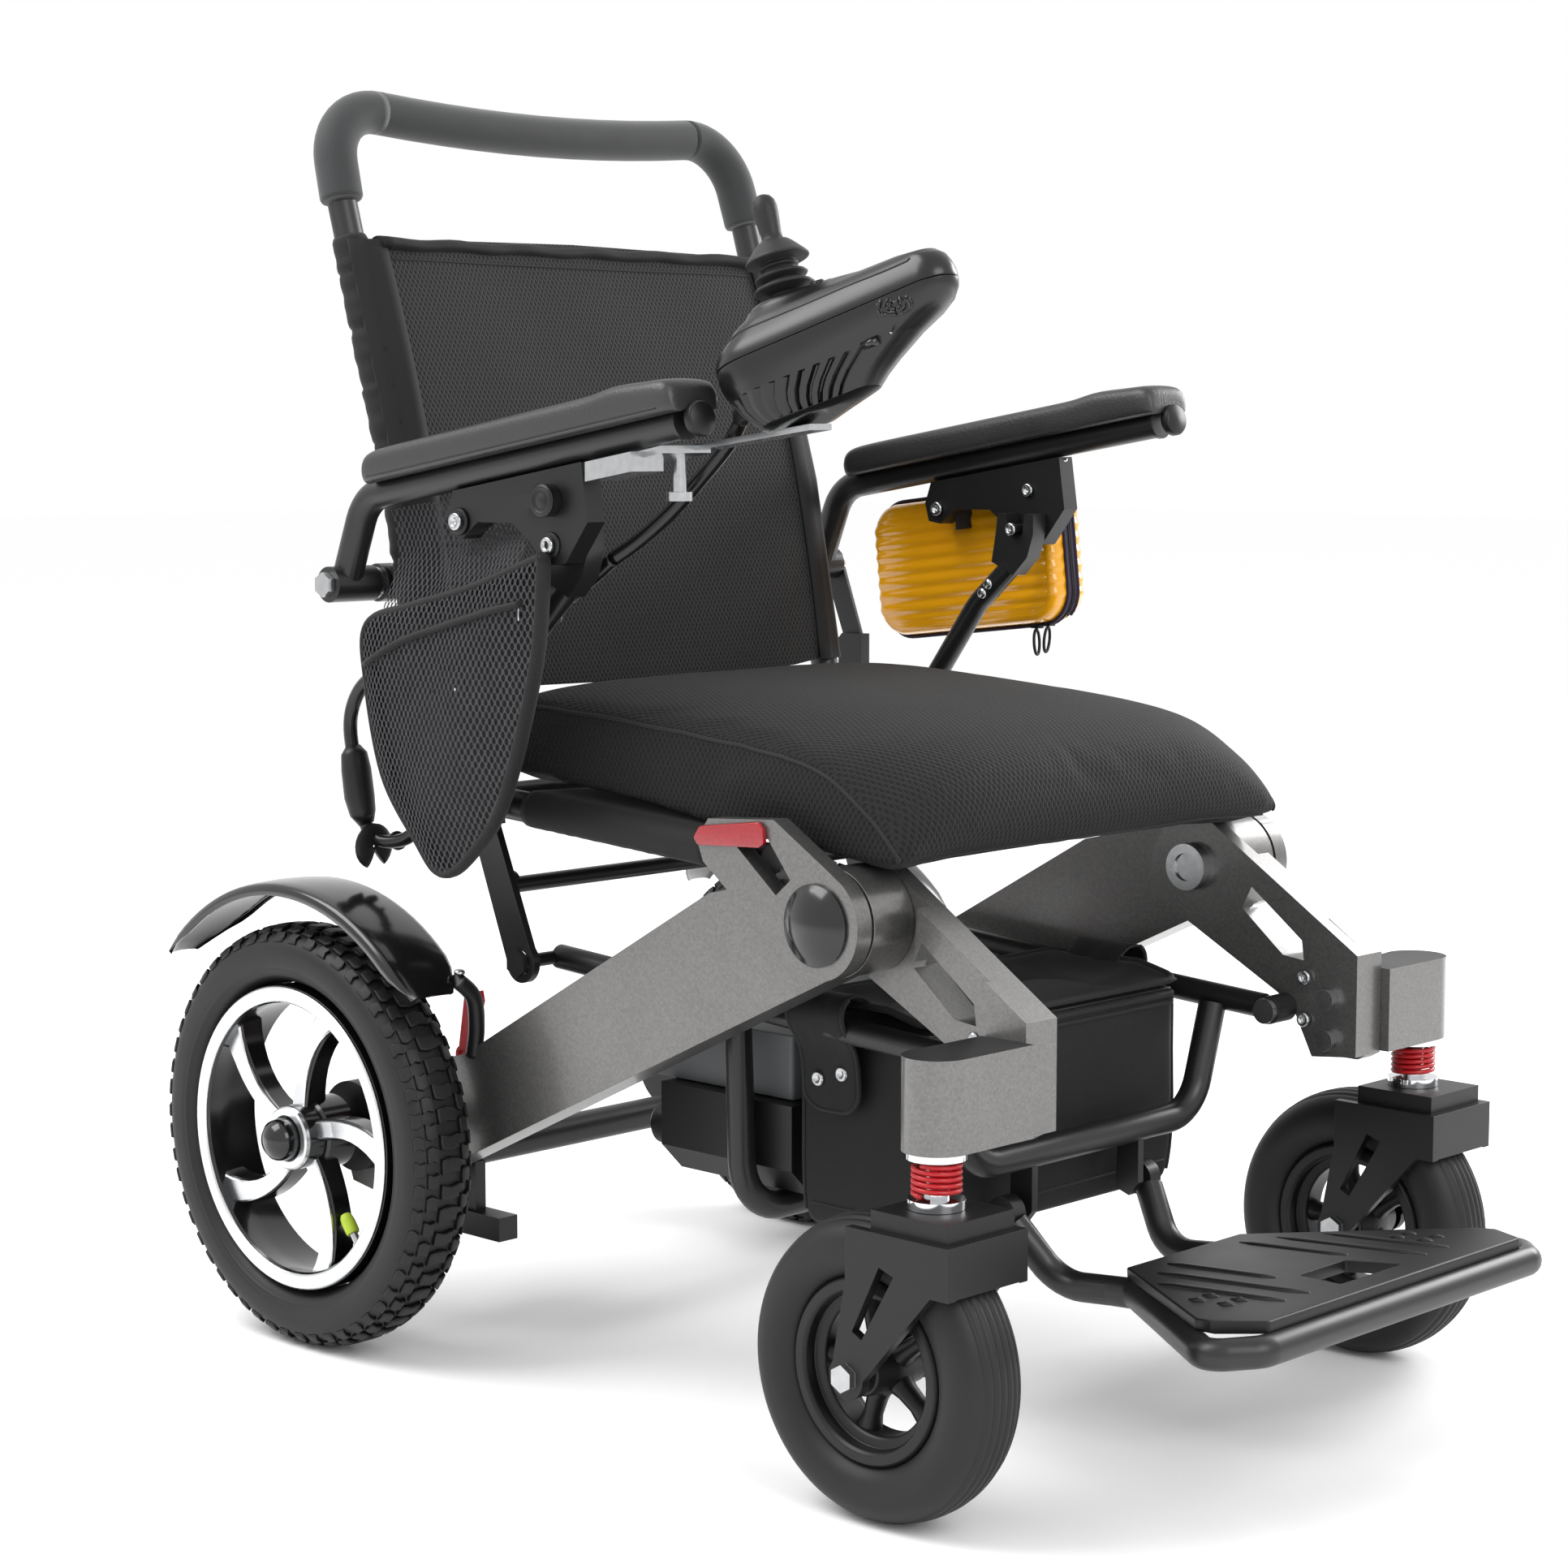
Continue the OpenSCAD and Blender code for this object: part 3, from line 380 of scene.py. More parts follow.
def smoothPath(points, steps=6):
    p = [np.array(q, float) for q in points]
    out = []
    for i in range(len(p) - 1):
        a, b, c, d = p[max(i - 1, 0)], p[i], p[i + 1], p[min(i + 2, len(p) - 1)]
        for k in range(steps):
            t = k / steps
            out.append(0.5 * (2 * b + (c - a) * t + (2 * a - 5 * b + 4 * c - d) * t * t
                              + (3 * b - a - 3 * c + d) * t ** 3))
    return out + [p[-1]]


def framesOf(path):
    dirs = [unit(path[min(i + 1, len(path) - 1)] - path[max(i - 1, 0)]) for i in range(len(path))]
    side = np.cross(dirs[0], (0.0, 0.0, 1.0))
    if np.linalg.norm(side) < 0.1:
        side = np.cross(dirs[0], (0.0, 1.0, 0.0))
    out = []
    for d in dirs:
        side = unit(side - d * (side @ d))
        out.append((side, np.cross(d, side)))
    return out


def sweep(path, radius, n=20, flat=1.0, capped=True, closed=False):
    path = [np.array(q, float) for q in path]
    radii = radius if hasattr(radius, "__len__") else [radius] * len(path)
    if closed:
        path = path + [path[0]]
    frames = framesOf(path)
    if closed:
        path, frames = path[:-1], frames[:-1]
    turns = [2 * math.pi * k / n for k in range(n)]
    rings = [[q + r * (math.cos(t) * u + flat * math.sin(t) * v) for t in turns]
             for q, r, (u, v) in zip(path, radii, frames)]
    return loft(rings, capped, closed)


def roundedTube(path, radius, n=24, end=2.0):
    # a tube whose two ends are rounded over
    path = [np.array(q, float) for q in path]
    a, b = unit(path[1] - path[0]), unit(path[-1] - path[-2])
    path = [path[0], path[0] + a * end * 0.3, path[0] + a * end] + path[1:-1] + [
        path[-1] - b * end, path[-1] - b * end * 0.3, path[-1]]
    radii = [radius - end, radius - end * 0.3] + [radius] * (len(path) - 4) + [radius - end * 0.3, radius - end]
    return sweep(path, radii, n)


def revolve(profile, steps=48, place=None, closed=False):
    # profile is (radius, height) along the axis z of place
    rings = [[(r * math.cos(t), r * math.sin(t), h) for r, h in profile]
             for t in (2 * math.pi * k / steps for k in range(steps))]
    count = len(profile)
    points = np.concatenate([np.asarray(r, float) for r in rings])
    faces = []
    for i in range(steps):
        a, b = i * count, (i + 1) % steps * count
        faces += [(a + k, b + k, b + (k + 1) % count, a + (k + 1) % count)
                  for k in range(count if closed else count - 1)]
    if not closed:
        faces += [tuple(i * count for i in range(steps - 1, -1, -1)),
                  tuple(i * count + count - 1 for i in range(steps))]
    shape = (points, faces)
    return moved(shape, place) if place is not None else shape


def moved(shape, matrix):
    points, faces = shape
    m = np.array(matrix, float)
    return points @ m[:3, :3].T + m[:3, 3], faces


def flipped(shape):
    return shape[0], [tuple(reversed(f)) for f in shape[1]]


def mirrored(shape):
    return shape[0] * np.array([-1, 1, 1]), [tuple(reversed(f)) for f in shape[1]]


def onSide(shape, side):
    return mirrored(shape) if side < 0 else shape


def block(low, high):
    (x0, y0, z0), (x1, y1, z1) = low, high
    return loft([[(x0, y0, z), (x1, y0, z), (x1, y1, z), (x0, y1, z)] for z in (z0, z1)])


def axisPlace(at, axis):
    # a matrix whose z runs along axis, at a point in mm
    turn = Vector(axis).to_track_quat("Z", "Y").to_matrix().to_4x4()
    return Matrix.Translation(Vector(at)) @ turn


def socketBolt(at, axis, r, h):
    # a cap screw with a hexagonal recess, its head standing on at
    k = r * 0.5
    return revolve([(r, 0), (r, h * 0.75), (r * 0.86, h), (k, h), (k * 0.95, h * 0.45), (0.01, h * 0.4)], 18,
                   axisPlace(at, axis))


def domeNut(at, axis, r, h):
    return revolve([(r, 0), (r, h * 0.45), (r * 0.85, h * 0.75), (r * 0.5, h * 0.95), (0.01, h)], 18,
                   axisPlace(at, axis))


def makeMesh(name, shapes):
    # shapes is a list of (shape, look), which become one mesh
    points, faces, marks, looks = [], [], [], []
    for shape, look in shapes:
        if look not in looks:
            looks.append(look)
        base = len(points)
        points += [tuple(p) for p in np.asarray(shape[0]) * mm]
        faces += [tuple(i + base for i in f) for f in shape[1]]
        marks += [looks.index(look)] * len(shape[1])
    mesh = bpy.data.meshes.new(name)
    mesh.from_pydata(points, [], faces)
    for look in looks:
        mesh.materials.append(paint[look])
    mesh.polygons.foreach_set("material_index", marks)
    mesh.polygons.foreach_set("use_smooth", [True] * len(faces))
    skin = bmesh.new()
    skin.from_mesh(mesh)
    if all(edge.is_manifold for edge in skin.edges):
        bmesh.ops.recalc_face_normals(skin, faces=skin.faces)
        skin.to_mesh(mesh)
    skin.free()
    mesh.update()
    obj = bpy.data.objects.new(name, mesh)
    scene.collection.objects.link(obj)
    return obj


def thicken(obj, thickness, offset=0):
    skin = obj.modifiers.new("thickness", "SOLIDIFY")
    skin.thickness, skin.offset = thickness * mm, offset


def softenEdges(obj, width, angle=35, segments=2):
    if width:
        bevel = obj.modifiers.new("edges", "BEVEL")
        bevel.width, bevel.segments, bevel.limit_method = width * mm, segments, "ANGLE"
        bevel.angle_limit = math.radians(angle)
    normals = obj.modifiers.new("normals", "WEIGHTED_NORMAL")
    normals.keep_sharp = True
    return obj


def piece(name, shapes, body, replaces=(), bevel=0.0, level=0, angle=35):
    obj = makeMesh(name, shapes)
    if level:
        soft = obj.modifiers.new("round", "SUBSURF")
        soft.levels = soft.render_levels = level
    softenEdges(obj, bevel, angle)
    if body:
        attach(obj, body)
    if replaces:
        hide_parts(*replaces)
    return obj


# CAD nodes that stay: their edges are rounded and they get their real finish; node: (look, bevel in mm)
keptNodes = {
    "seat_frame": ("blackPowderCoat", 0.8), "frame_bolts": ("zincPlate", 0.8),
    "side_beams": ("gunmetalLacquer", 3.0), "rear_crossframe": ("blackPowderCoat", 1.2),
    "drive_motors": ("mouldedNylon", 2.0), "fold_links": ("blackPowderCoat", 0.8),
    "tray_frame": ("blackPowderCoat", 0.8), "battery_pack": ("mouldedNylon", 2.5),
    "controller_box": ("greyAbs", 3.0), "footrest_tube": ("blackPowderCoat", 0.8),
    "footrest_plate": ("mouldedNylon", 1.6), "backrest_frame": ("blackPowderCoat", 0.8),
    "caster_brackets": ("gunmetalLacquer", 2.4), "reflectors": ("reflectorAcrylic", 1.2),
    "pod_mount": ("zincPlate", 0.8), "joystick_gimbal": ("mouldedNylon", 0.4),
    "pod_upper": ("glossAbs", 1.6), "pod_lower": ("mouldedNylon", 1.2),
}
for name, _ in sides:
    keptNodes.update({
        f"front_leg_{name}": ("gunmetalLacquer", 2.2), f"clutch_lever_{name}": ("redAbs", 1.2),
        f"caster_stem_{name}": ("chromePlate", 1.0), f"caster_fork_{name}": ("mouldedNylon", 2.2),
        f"arm_pivot_{name}": ("zincPlate", 0.8), f"arm_tube_{name}": ("blackPowderCoat", 1.0),
        f"arm_bracket_{name}": ("mouldedNylon", 2.0), f"arm_post_{name}": ("blackPowderCoat", 1.4),
        f"arm_latch_{name}": ("mouldedNylon", 1.2),
    })


def finishNode(name, look, bevel):
    obj = nodes[name]
    obj.data.materials.clear()
    obj.data.materials.append(paint[look])
    for polygon in obj.data.polygons:
        polygon.material_index = 0
        polygon.use_smooth = True
    weld = obj.modifiers.new("weld", "WELD")
    weld.merge_threshold = 0.00002
    softenEdges(obj, bevel)


def repaint(name, look, test):
    # gives the faces of a CAD node whose middle, in mm, passes test another finish
    obj = nodes[name]
    obj.data.materials.append(paint[look])
    index = len(obj.data.materials) - 1
    for polygon in obj.data.polygons:
        if test(polygon.center / mm):
            polygon.material_index = index


for name, (look, bevel) in keptNodes.items():
    finishNode(name, look, bevel)
hub = Vector((0, -169, 362))
repaint("frame_bolts", "glossAbs", lambda c: abs(c.x) > 231.5 and (c - hub).yz.length < 30)
repaint("caster_brackets", "mouldedNylon", lambda c: c.z > 299.5)
repaint("caster_brackets", "chromePlate", lambda c: c.z < 240.9)
for name, side in sides:
    repaint(f"caster_fork_{name}", "zincPlate", lambda c: abs(abs(c.x) - 261) > 37.2 and c.z < 130)
print("kept nodes finished", len(keptNodes))


def wheelPlace(x, y, z):
    # local z runs out to the left side of the chair, local x runs back and local y up
    return Matrix(((0, 0, 1, x), (1, 0, 0, y), (0, 1, 0, z), (0, 0, 0, 1)))


def superPoint(theta, centre, tall, half, power=2.6):
    c, s = math.cos(theta), math.sin(theta)
    return (centre + tall * math.copysign(abs(c) ** (2 / power), c),
            half * math.copysign(abs(s) ** (2 / power), s))


driveWheel = {
    "place": (262, 315, 158), "ringRadius": 134, "carcassTall": 20.4, "halfWidth": 27.6, "beadRadius": 113,
    "pitches": 54, "lugHeight": 3.4,
    # tread rows: from and to round the section in degrees, share of the pitch, offset in pitches
    "rows": ((-12, 12, 0.60, 0.0), (16, 36, 0.62, 0.5), (-36, -16, 0.62, 0.5), (40, 62, 0.52, 0.0),
             (-62, -40, 0.52, 0.0)),
    "spokes": 5, "swirl": 0.42, "valveAngle": 232,
}


def driveTyre(w):
    # rings that stand proud of the side wall: place in degrees, height in mm
    ridge = {70: 0.8, 86: 0.7, 112: 0.9}
    profile = []
    for degree in range(-176, 180, 4):
        r, x = superPoint(math.radians(degree), w["ringRadius"], w["carcassTall"], w["halfWidth"])
        x += math.copysign(ridge.get(abs(degree) // 2 * 2, 0), x)
        profile.append((max(r, w["beadRadius"]), x))
    shapes = [revolve(profile, 108, closed=True)]
    pitch = 2 * math.pi / w["pitches"]
    for start, end, share, offset in w["rows"]:
        middle = (start + end) / 2
        for k in range(w["pitches"]):
            long = share * (1.12 if k % 2 and abs(middle) > 45 else 1.0)
            a0, a1 = (k + offset - long / 2) * pitch, (k + offset + long / 2) * pitch
            skew = 0.10 * pitch * (1 if middle > 0 else -1) * (k % 2 * 2 - 1)
            rim = [(a0, start), (a0 + skew, middle), (a0, end), (a1, end), (a1 + skew, middle), (a1, start)]
            rings = []
            for lift, shrink in ((-1.0, 1.0), (w["lugHeight"] * 0.75, 0.93), (w["lugHeight"], 0.80)):
                ring = []
                for angle, degree in rim:
                    angle = (angle - (a0 + a1) / 2) * shrink + (a0 + a1) / 2
                    degree = (degree - middle) * shrink + middle
                    r, x = superPoint(math.radians(degree), w["ringRadius"], w["carcassTall"] + lift,
                                      w["halfWidth"] + lift * 0.25)
                    ring.append((r * math.cos(angle), r * math.sin(angle), x))
                rings.append(ring)
            shapes.append(flipped(loft(rings)))
    return [moved(s, wheelPlace(*w["place"])) for s in shapes]


def swirlSpoke(turn, swirl, z0, z1, spread):
    rings = []
    for k in range(11):
        s = k / 10
        r = 16 + 88 * s
        angle = turn + swirl * s ** 1.5
        wide = (7.5 - 9 * s + 13.5 * s * s + spread) / r
        dip = 3.5 * math.sin(math.pi * s)
        ring = []
        for share, z in ((1.0, z0), (1.0, z1 - 1.2 - dip), (0.86, z1 - dip), (-0.86, z1 - dip),
                         (-1.0, z1 - 1.2 - dip), (-1.0, z0)):
            a = angle + wide * share
            ring.append((r * math.cos(a), r * math.sin(a), z))
        rings.append(ring)
    return loft(rings)


def driveRim(w):
    bowl = [(113, -23), (113, 23), (110, 24.6), (101.5, 24.6), (100, 22), (101.5, 12), (103.5, 0), (103.5, -22),
            (105, -23.6)]
    black = [revolve(bowl, 96, closed=True),
             revolve([(8.5, -63), (8.5, -24), (22, -22), (23, 0), (24, 14), (24, 22), (22, 23.4), (0.01, 23.4)], 48),
             revolve([(15.6, 23), (15.6, 33), (14.6, 37.5), (10.6, 41.6), (5, 43.7), (0.01, 44)], 40),
             revolve([(27, -18), (27, 6), (25, 8), (0.01, 8)], 48)]
    silver = [revolve([(112.4, 23.6), (112.4, 25.0), (111.4, 25.8), (102.4, 25.8), (101.2, 24.8), (101.2, 23.6)], 96,
                      closed=True),
              revolve([(23.4, 22), (23.4, 25.6), (22.2, 26.8), (17.4, 26.8), (16.4, 25.8), (16.4, 22)], 48,
                      closed=True)]
    for k in range(w["spokes"]):
        turn = 2 * math.pi * k / w["spokes"] + 0.3
        black.append(flipped(swirlSpoke(turn, w["swirl"], -4, 15.2, 1.6)))
        silver.append(flipped(swirlSpoke(turn, w["swirl"], 14.0, 16.6, 0)))
    a = math.radians(w["valveAngle"])
    out = (math.cos(a), math.sin(a), 0.0)
    stem = [(r * out[0], r * out[1], 6.0) for r in (103, 82)]
    cap = [(r * out[0], r * out[1], 6.0) for r in (84, 82, 74, 70, 68)]
    place = wheelPlace(*w["place"])
    return ([(moved(s, place), "glossAbs") for s in black] + [(moved(s, place), "machinedAlloy") for s in silver]
            + [(moved(sweep(stem, 3.0, 12), place), "zincPlate"),
               (moved(sweep(cap, (4.6, 5.2, 5.2, 4.6, 3.4), 14), place), "limePvc")])


casterWheel = {"place": (261, -257, 98), "ringRadius": 77, "tall": 21, "halfWidth": 27, "beadRadius": 60,
               "grooves": (-15, -9, -3, 3, 9, 15), "grooveDepth": 1.5}


def casterTyre(w):
    profile = []
    for degree in range(-178, 180, 3):
        r, x = superPoint(math.radians(degree), w["ringRadius"], w["tall"], w["halfWidth"], 2.3)
        if abs(degree) < 90:
            r -= w["grooveDepth"] * sum(math.exp(-((x - g) / 0.9) ** 2) for g in w["grooves"])
        profile.append((max(r, w["beadRadius"]), x))
    return moved(revolve(profile, 96, closed=True), wheelPlace(*w["place"]))


def casterRim(w):
    shapes = [revolve([(60, -19), (60, 19), (58, 21.5), (52, 21.5), (50, 19), (50, 12), (45, 11), (43, 9), (43, -9),
                       (45, -11), (50, -12), (50, -19), (52, -21.5), (58, -21.5)], 72, closed=True),
              revolve([(5.3, -24), (13.5, -24), (15, -22), (16, -10), (18, -6), (18, 6), (16, 10), (15, 22),
                       (13.5, 24), (5.3, 24)], 40, closed=True)]
    for k in range(5):
        a = 2 * math.pi * k / 5
        rings = []
        # spoke: distance from the hub, half width, half thickness
        for r, wide, thick in ((14, 9, 9), (22, 6.5, 8), (34, 6, 7), (45, 9, 8)):
            ring = [(wide * math.cos(t), thick * math.sin(t)) for t in (2 * math.pi * j / 12 for j in range(12))]
            rings.append([(r * math.cos(a) - u * math.sin(a), r * math.sin(a) + u * math.cos(a), v) for u, v in ring])
        shapes.append(loft(rings))
    return [moved(s, wheelPlace(*w["place"])) for s in shapes]


coilSpring = {"at": (261, -298), "turns": 5, "radius": 14.4, "wire": 1.72, "low": 214.2, "high": 233.4}


def casterSpring(look):
    steps = 20 * look["turns"]
    (x, y), r = look["at"], look["radius"]
    path = []
    for k in range(steps + 1):
        turn = 2 * math.pi * k / 20
        path.append((x + r * math.cos(turn), y + r * math.sin(turn),
                     look["low"] + (look["high"] - look["low"]) * k / steps))
    return sweep(path, look["wire"], 10)


for name, side in sides:
    piece(f"driveTyre.{name}", [(onSide(s, side), "tyreRubber") for s in driveTyre(driveWheel)], f"wheel_{name}",
          [f"rear_tyre_{name}"])
    piece(f"driveRim.{name}", [(onSide(s, side), look) for s, look in driveRim(driveWheel)], f"wheel_{name}",
          [f"rear_rim_{name}"], bevel=0.5)
    piece(f"casterTyre.{name}", [(onSide(casterTyre(casterWheel), side), "tyreRubber")], f"caster_{name}",
          [f"caster_tyre_{name}"])
    piece(f"casterRim.{name}", [(onSide(s, side), "mouldedNylon") for s in casterRim(casterWheel)], f"caster_{name}",
          [f"caster_rim_{name}"], bevel=0.8)
    spring = piece(f"casterSpring.{name}", [(onSide(casterSpring(coilSpring), side), "redPowderCoat")], "front_frame",
                   [f"caster_spring_{name}"])
    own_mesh(spring)
print("wheels ready")

fender = {"axle": (315, 158), "radius": 189.4, "from": 41, "to": 140, "outer": 292.0, "inner": 234.0, "lip": 9.0,
          "thick": 2.4, "stay": ((212, 192, 226), (214, 186, 248), (222, 180, 272), (240, 177, 287))}


def fenderSkin(f):
    rows = []
    steps = 30
    for i in range(steps + 1):
        t = i / steps
        a = math.radians(f["from"] + (f["to"] - f["from"]) * t)
        # the rear end runs out to a point at the outer edge, the front end is broad and rounded
        taper = 1 - 0.55 * max(0, 1 - t / 0.16) ** 2 - 0.35 * max(0, (t - 0.9) / 0.1) ** 2
        outer = f["outer"] - 6 * max(0, (t - 0.92) / 0.08) ** 2 - 3 * max(0, 1 - t / 0.08) ** 2
        inner = outer - (f["outer"] - f["inner"]) * taper
        row = []
        lip = f["lip"] * min(1, 8 * t + 0.15, 10 * (1 - t) + 0.15)
        for share, drop in ((0, lip * 0.5), (0.02, 1.2), (0.08, 0.1), (0.3, -0.9), (0.55, -1.2), (0.8, -0.6),
                            (0.93, 0.3), (0.985, 1.8), (1, lip * 0.6), (1, lip)):
            r = f["radius"] - drop
            row.append((inner + (outer - inner) * share, f["axle"][0] + r * math.cos(a),
                        f["axle"][1] + r * math.sin(a)))
        rows.append(row)
    return sheetGrid(rows)


for name, side in sides:
    skin = piece(f"fender.{name}", [(onSide(flipped(fenderSkin(fender)), side), "glossAbs")], None)
    thicken(skin, fender["thick"], -1)
    skin.modifiers.move(len(skin.modifiers) - 1, 0)
    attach(skin, "rear_frame")
    if side > 0:
        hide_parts("fenders")
    piece(f"fenderStay.{name}", [(onSide(sweep(smoothPath(fender["stay"]), 6.0, 16), side), "mouldedNylon"),
                                 (onSide(domeNut((238, 176, 291.5), (0.1, -0.2, 1), 4, 3), side), "zincPlate")],
          "rear_frame")
print("fenders ready")

cushion = {
    "halfWidth": 207, "stations": 21,
    # side views of the unfilled core, in the middle and at the side panels, where the front falls away sooner
    "middle": ((-196, 401), (-212, 402), (-223, 412), (-227, 430), (-213, 454), (-187, 467), (-150, 476),
               (-79, 484), (20, 489), (110, 494), (156, 493), (168, 485), (172, 470), (172, 436), (150, 433),
               (40, 426), (-80, 411)),
    "edge": ((-198, 396), (-212, 396), (-219, 399), (-215, 407), (-203, 419), (-187, 433), (-147, 457),
             (-86, 469), (20, 479), (110, 484), (156, 483), (167, 477), (172, 464), (172, 436), (150, 432),
             (40, 424), (-80, 407)),
    "voxel": 5.0, "pressure": 3.0, "frames": 20, "cap": 4.5,
}


def fillOut(obj, spec):
    # swells a closed skin a little with cloth pressure, and caps how far each point may move
    start = np.array([v.co for v in obj.data.vertices])
    cloth = obj.modifiers.new("filling", "CLOTH")
    cloth.settings.quality = 6
    cloth.settings.mass = 0.3
    cloth.settings.use_pressure = True
    cloth.settings.uniform_pressure_force = spec["pressure"]
    cloth.settings.tension_stiffness = cloth.settings.compression_stiffness = 22
    cloth.settings.effector_weights.gravity = 0
    cloth.collision_settings.use_self_collision = False
    scene.frame_start, scene.frame_end = 1, spec["frames"]
    for number in range(1, spec["frames"] + 1):
        scene.frame_set(number)
    swollen = obj.evaluated_get(bpy.context.evaluated_depsgraph_get()).to_mesh()
    end = np.array([v.co for v in swollen.vertices])
    obj.modifiers.remove(cloth)
    scene.frame_set(1)
    move = end - start
    size = np.linalg.norm(move, axis=1)[:, None]
    end = start + move * np.minimum(1, spec["cap"] * mm / np.maximum(size, 1e-9))
    obj.data.vertices.foreach_set("co", end.ravel())
    obj.data.update()


def remeshed(obj, voxel):
    skin = obj.modifiers.new("skin", "REMESH")
    skin.mode, skin.voxel_size = "VOXEL", voxel * mm
    bpy.context.view_layer.update()
    made = bpy.data.meshes.new_from_object(obj.evaluated_get(bpy.context.evaluated_depsgraph_get()))
    obj.modifiers.clear()
    obj.data = made


def smoothed(obj, factor, repeat):
    soft = obj.modifiers.new("smooth", "SMOOTH")
    soft.factor, soft.iterations = factor, repeat


def frozen(obj):
    obj.data = bpy.data.meshes.new_from_object(obj.evaluated_get(bpy.context.evaluated_depsgraph_get()))
    obj.modifiers.clear()
    obj.data.polygons.foreach_set("use_smooth", [True] * len(obj.data.polygons))


def seamOn(obj, path, radius, lift=0.0, n=8, flat=1.0, closed=False):
    # lays a line of piping or stitching on the surface nearest to path
    tree = BVHTree.FromObject(obj, bpy.context.evaluated_depsgraph_get())
    laid = []
    for point in path:
        at, normal, _, _ = tree.find_nearest(Vector(point) * mm)
        laid.append(tuple((at + normal * lift * mm) / mm))
    return sweep(laid, radius, n, flat, closed=closed)


rings = []
for k in range(cushion["stations"]):
    s = -1 + 2 * k / (cushion["stations"] - 1)
    s = math.copysign(abs(s) ** 0.8, s)
    share = abs(s) ** 4
    outline = [(1 - share) * np.array(a) + share * np.array(b) for a, b in zip(cushion["middle"], cushion["edge"])]
    rings.append([(cushion["halfWidth"] * s, y, z) for y, z in smoothPath(outline + outline[:1], 3)[:-1]])
seat = makeMesh("seatCushion", [(loft(rings), "airMesh")])
remeshed(seat, cushion["voxel"])
fillOut(seat, cushion)
smoothed(seat, 0.5, 6)
frozen(seat)
fine = seat.modifiers.new("fine", "SUBSURF")
fine.levels = fine.render_levels = 1
seat.data.materials.clear()
seat.data.materials.append(paint["airMesh"])
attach(seat, "seat")
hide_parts("seat_cushion")
for name, side in sides:
    # the side panel's seam runs along its top edge and down the front corner
    line = smoothPath([(side * 206, y, z) for y, z in cushion["edge"][10:1:-1]], 6)
    piece(f"cushionSeam.{name}", [(seamOn(seat, line, 1.4, 0.1), "bindingTape")], "seat")
across = [(x, -210, 394) for x in range(-196, 197, 14)]
piece("cushionSeam.front", [(seamOn(seat, across, 1.2, 0.0), "bindingTape")], "seat")
print("cushion ready")

# seat sling: one sheet from the underside of one rail, over both rails, to the other underside
# measured back along the rails from their front end, which is at "start"
sling = {"start": (-75, 398), "railX": 207, "from": 22, "to": 205, "slope": 3.6, "radius": 12.6, "sag": 5.0}


def slingRow(u):
    slope = math.radians(sling["slope"])
    row = []
    wrap = [math.radians(a) for a in range(-120, 91, 15)]
    ripple = 0.5 * math.sin(u * 0.55) + 0.3 * math.sin(u * 0.23 + 1)
    r, (y0, z0) = sling["radius"] + ripple * 0.3, sling["start"]
    left = [(sling["railX"] + r * math.cos(a), r * math.sin(a)) for a in wrap]
    span = [(x, sling["radius"] - sling["sag"] * (1 - (x / sling["railX"]) ** 2)) for x in range(190, -191, -20)]
    for x, w in left + span + [(-x, w) for x, w in reversed(left)]:
        row.append((x, y0 + u * math.cos(slope) - w * math.sin(slope),
                    z0 + u * math.sin(slope) + w * math.cos(slope)))
    return row


steps = 30
rows = [slingRow(sling["from"] + (sling["to"] - sling["from"]) * k / steps) for k in range(steps + 1)]
cloth = piece("seatSling", [(sheetGrid(rows), "nylonTwill")], None)
thicken(cloth, 1.2)
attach(cloth, "seat")
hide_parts("seat_sling")
print("sling ready")

# backrest: a crowned mesh panel between the tubes, gathered sleeves round them and a hem on top
back = {"halfWidth": 199, "crown": 5.0, "thick": 9.0, "sleeve": 13.4, "pleat": 43.0,
        "line": ((224, 486), (251, 638), (308, 821))}


def backAt(z):
    # the panel's y at height z, and how far up the panel that is
    (y0, z0), (y1, z1), (y2, z2) = back["line"]
    s = (z - z0) / (z2 - z0)
    # smooth line through the three points of the side view
    y = (y0 * (z - z1) * (z - z2) / ((z0 - z1) * (z0 - z2)) + y1 * (z - z0) * (z - z2) / ((z1 - z0) * (z1 - z2))
         + y2 * (z - z0) * (z - z1) / ((z2 - z0) * (z2 - z1)))
    return y, s


rings = []
for z in np.linspace(485.5, 820, 27):
    y, s = backAt(z)
    ends = min(1, 9 * s + 0.3, 9 * (1 - s) + 0.3)
    front, rear = [], []
    for j in range(25):
        x = -back["halfWidth"] + 2 * back["halfWidth"] * j / 24
        t = x / back["halfWidth"]
        puff = (1 - t ** 6) * ends
        hollow = 6.0 * (1 - t * t)  # the panel hangs back a little between the tubes
        wave = 0.35 * math.sin(x * 0.045 + z * 0.03) * ends
        front.append((x, y + 4.5 - back["thick"] * 0.5 * puff + hollow * ends + wave, z))
        rear.append((x, y + 4.5 + back["thick"] * 0.42 * puff + hollow * ends + wave, z))
    rings.append(front + rear[::-1])
# the panel takes the lighter copy of the seat's fabric, whose extra lightness is painted light
panel = piece("backPanel", [(flipped(loft(rings)), "backMeshPaintedLighter")], None, ["backrest_sling"], level=1)
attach(panel, "backrest")


